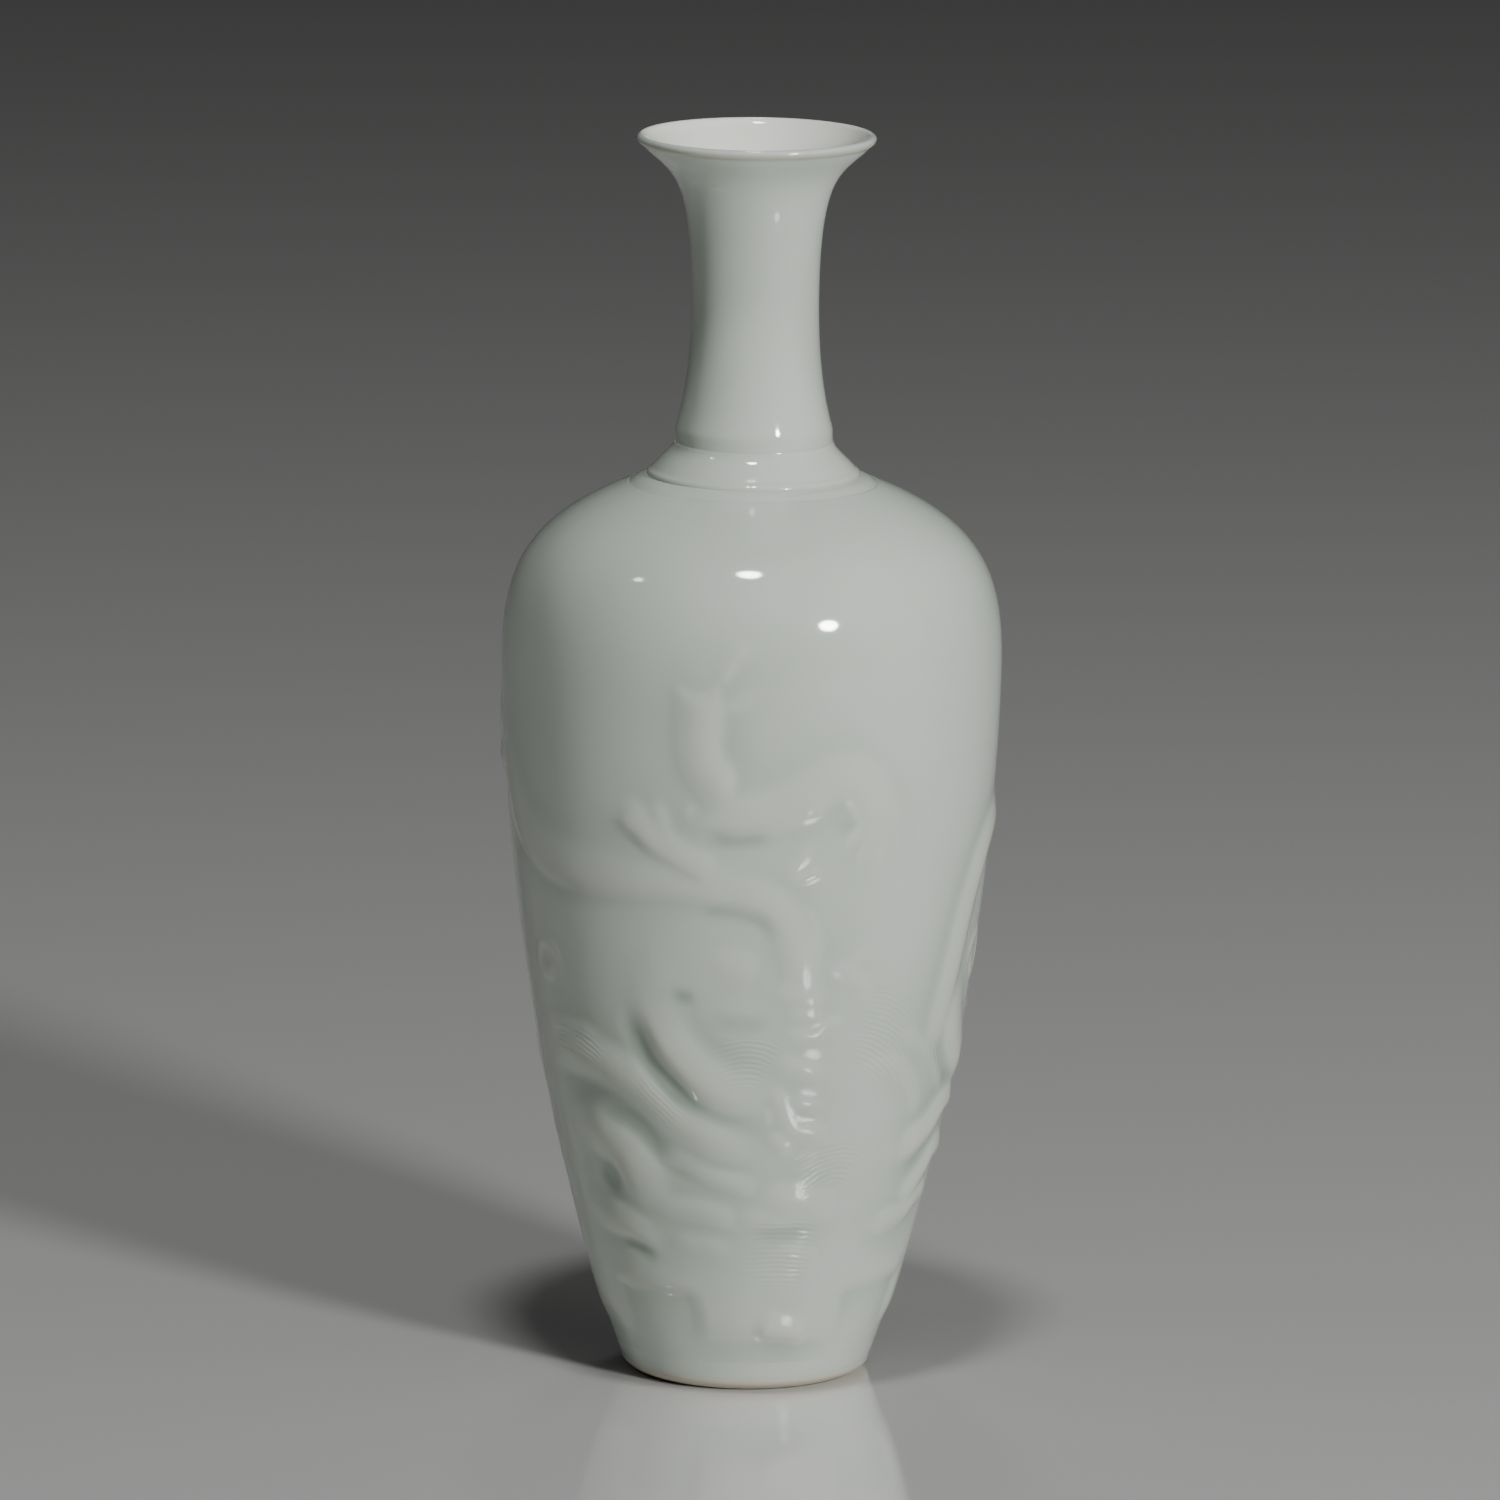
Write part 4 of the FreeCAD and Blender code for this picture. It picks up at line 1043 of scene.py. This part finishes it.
def celadon(name, combed, tint=EVEN_TINT, lip=False):
    """Pale blue-green glaze, deeper in colour where it pools, and darkened in hollows as painted shade,
    with faint waves.
    """
    material, nodes, links, shader = new_material(name)
    places = own_places(nodes)
    cloud = noise(nodes, links, places, *CLOUD_NOISE)
    deep, light = GLAZE_DEEP, GLAZE_LIGHT
    if not combed:
        deep, light = even(deep, tint), even(light, tint)
    base = ramp(nodes, links, cloud, tuple(zip(CLOUD_SHARES, (deep, light))))
    if combed:
        # Hollows darken towards the pooled tint: deeper glaze, and partly painted shade.
        stops = ((0.0, THIN_TINT), (0.5, EVEN_TINT), (1.0, POOLED_AND_SHADED_TINT))
        base = tinted(nodes, links, base, ramp(nodes, links, stored(nodes, "pool_and_shade"), stops))
    # The lip's edge gets a warm, darker tint, partly painted shade.
    if lip:
        base = warm_and_shaded_lip(nodes, links, places, base)
    links.new(base, shader.inputs["Base Color"])
    put(shader, Roughness=GLAZE_ROUGHNESS, IOR=GLAZE_IOR)
    put(shader, Subsurface_Weight=GLAZE_SCATTER, Subsurface_Radius=GLAZE_SCATTER_RADIUS)
    put(shader, Subsurface_Scale=GLAZE_SCATTER_DEPTH * MM)
    bump = bumped(nodes, links, noise(nodes, links, places, *RIPPLE_NOISE), *RIPPLE_BUMP)
    if combed:
        comb = bumped(nodes, links, combed_lines(nodes, links, places), *COMB_BUMP)
        links.new(bump.outputs["Normal"], comb.inputs["Normal"])
        bump = comb
    links.new(bump.outputs["Normal"], shader.inputs["Normal"])
    return material


def foot_finish():
    """Glaze that stops in an uneven line above a bare, slightly warm tread."""
    material, nodes, links, shader = new_material("foot glaze and bare tread")
    places = own_places(nodes)
    end_noise = noise(nodes, links, places, *GLAZE_END_NOISE)
    uneven = reckon(nodes, links, "MULTIPLY", end_noise, GLAZE_END_SWING * MM)
    edge_z = reckon(nodes, links, "ADD", uneven, GLAZE_END_Z * MM)
    above = reckon(nodes, links, "SUBTRACT", height_at(nodes, links, places), edge_z)
    glazed = nodes.new("ShaderNodeClamp")
    links.new(reckon(nodes, links, "MULTIPLY", above, GLAZE_END_SHARPNESS), glazed.inputs["Value"])
    share = glazed.outputs["Result"]
    stops = ((0.0, BARE_CLAY), (WARM_EDGE_SHARE, WARM_EDGE), (1.0, even(GLAZE_LIGHT)))
    links.new(ramp(nodes, links, share, stops), shader.inputs["Base Color"])
    gloss = nodes.new("ShaderNodeMapRange")
    links.new(share, gloss.inputs["Value"])
    put(gloss, To_Min=BARE_ROUGHNESS, To_Max=FOOT_ROUGHNESS)
    links.new(gloss.outputs["Result"], shader.inputs["Roughness"])
    grit = bumped(nodes, links, noise(nodes, links, places, *GRIT_NOISE), *GRIT_BUMP)
    links.new(grit.outputs["Normal"], shader.inputs["Normal"])
    return material


def slip_finish():
    """Fired slip: matt, pale and slightly lumpy."""
    material, nodes, links, shader = new_material("fired slip")
    grain = noise(nodes, links, own_places(nodes), *SLIP_NOISE)
    links.new(ramp(nodes, links, grain, SLIP_STOPS), shader.inputs["Base Color"])
    put(shader, Roughness=SLIP_ROUGHNESS)
    links.new(bumped(nodes, links, grain, *SLIP_BUMP).outputs["Normal"], shader.inputs["Normal"])
    return material


def dressed(node, finish):
    """A node of the construction that stays, with its finish."""
    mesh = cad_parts[node].data
    mesh.materials.clear()
    mesh.materials.append(finish)


def floor():
    """A plain pale floor, polished enough to mirror the vase and the lights."""
    material, _, _, shader = new_material("studio floor")
    put(shader, Base_Color=FLOOR_COLOUR, Roughness=FLOOR_ROUGHNESS, Metallic=FLOOR_METALLIC)
    mesh = bpy.data.meshes.new("floor")
    half = FLOOR_HALF
    corners = [(-half, -half, 0), (half, -half, 0), (half, half, 0), (-half, half, 0)]
    mesh.from_pydata(corners, [], [(0, 1, 2, 3)])
    mesh.materials.append(material)
    ground = bpy.data.objects.new("floor", mesh)
    bpy.context.scene.collection.objects.link(ground)


def studio_light(name, turn, elevation, distance, width, height, power, aim_z):
    """A soft box aimed at the vase from a turn and an elevation."""
    light = bpy.data.lights.new(name, "AREA")
    light.shape = "ELLIPSE"
    light.size = width
    light.size_y = height
    light.energy = power
    lamp = bpy.data.objects.new(name, light)
    bpy.context.scene.collection.objects.link(lamp)
    turn_angle, rise_angle = math.radians(turn), math.radians(elevation)
    across, forward = math.sin(turn_angle), -math.cos(turn_angle)
    level = math.cos(rise_angle)
    reach = Vector((across * level, forward * level, math.sin(rise_angle)))
    lamp.location = Vector((0, 0, aim_z)) + reach * distance
    lamp.rotation_euler = reach.to_track_quat("Z", "Y").to_euler()


def lights():
    """The soft boxes, in a dim room."""
    for row in LIGHTS:
        studio_light(*row)
    world = bpy.data.worlds.new("studio")
    world.use_nodes = True
    put(world.node_tree.nodes["Background"], Color=ROOM_COLOUR, Strength=ROOM_STRENGTH)
    bpy.context.scene.world = world


def camera():
    """The photograph's viewpoint: a long lens, level across but tipped down, rolled a little."""
    view = bpy.data.cameras.new("viewpoint")
    view.lens = LENS
    view.sensor_width = SENSOR
    view.shift_x = -CAMERA_SHIFT_PIXELS / FRAME_PIXELS
    view.clip_start = NEAREST_SEEN * MM
    view.clip_end = FARTHEST_SEEN * MM
    eye = bpy.data.objects.new("viewpoint", view)
    bpy.context.scene.collection.objects.link(eye)
    tip = Matrix.Rotation(math.radians(FULL_TURN / 4 - CAMERA_PITCH), 4, "X")
    roll = Matrix.Rotation(math.radians(CAMERA_ROLL), 4, "Z")
    eye.matrix_world = Matrix.Translation((0, -CAMERA_DISTANCE * MM, CAMERA_Z * MM)) @ tip @ roll
    bpy.context.scene.camera = eye


def relief_nodes(*starts):
    """The construction's nodes whose names begin in given ways."""
    return [name for name in sorted(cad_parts) if name.startswith(starts)]


def vase():
    """Every visible piece, from the foot up."""
    skin = Skin()
    relief = relief_field(skin)
    phase, depth = comb_fields(skin)
    fields = {
        "relief": relief,
        "pool_and_shade": pool_and_shade_field(skin, relief),
        "comb_phase": phase,
        "comb_depth": depth,
        "normals": skin_normals(skin, relief),
    }
    carved_glaze = celadon("celadon over relief", True)
    plain_glaze = celadon("celadon", False)
    slip = slip_finish()
    foot(foot_finish())
    waves = body_part("wave_wall", FOOT_TOP_Z, SKIN_CUT_Z, skin, fields, carved_glaze)
    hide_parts(*relief_nodes("wave_border", "wave_swell"))
    coils = body_part("dragon_wall", SKIN_CUT_Z, BODY_SEAM_Z, skin, fields, carved_glaze)
    coil_nodes = relief_nodes("dragon_fore_body", "dragon_hind_body", "dragon_mid_body", "wave_curl")
    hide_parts("lower_body", *coil_nodes)
    shoulder = body_part("shoulder_wall", BODY_SEAM_Z, SHOULDER_Z, skin, fields, carved_glaze)
    upper_nodes = relief_nodes("dragon_head", "dragon_fore_leg", "dragon_hind_leg", "dragon_tail",
                               "flaming_pearl")
    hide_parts("upper_body", *upper_nodes)
    seam_bead(slip)
    shoulder_ring(plain_glaze)
    collar(plain_glaze)
    neck_tube(plain_glaze)
    mouth(celadon("celadon with warm shaded lip", False, lip=True), celadon("pale lining", False, LINING_TINT))
    dressed("base_disc", plain_glaze)
    dressed("neck_seam_slip", slip)


vase()
floor()
lights()
camera()
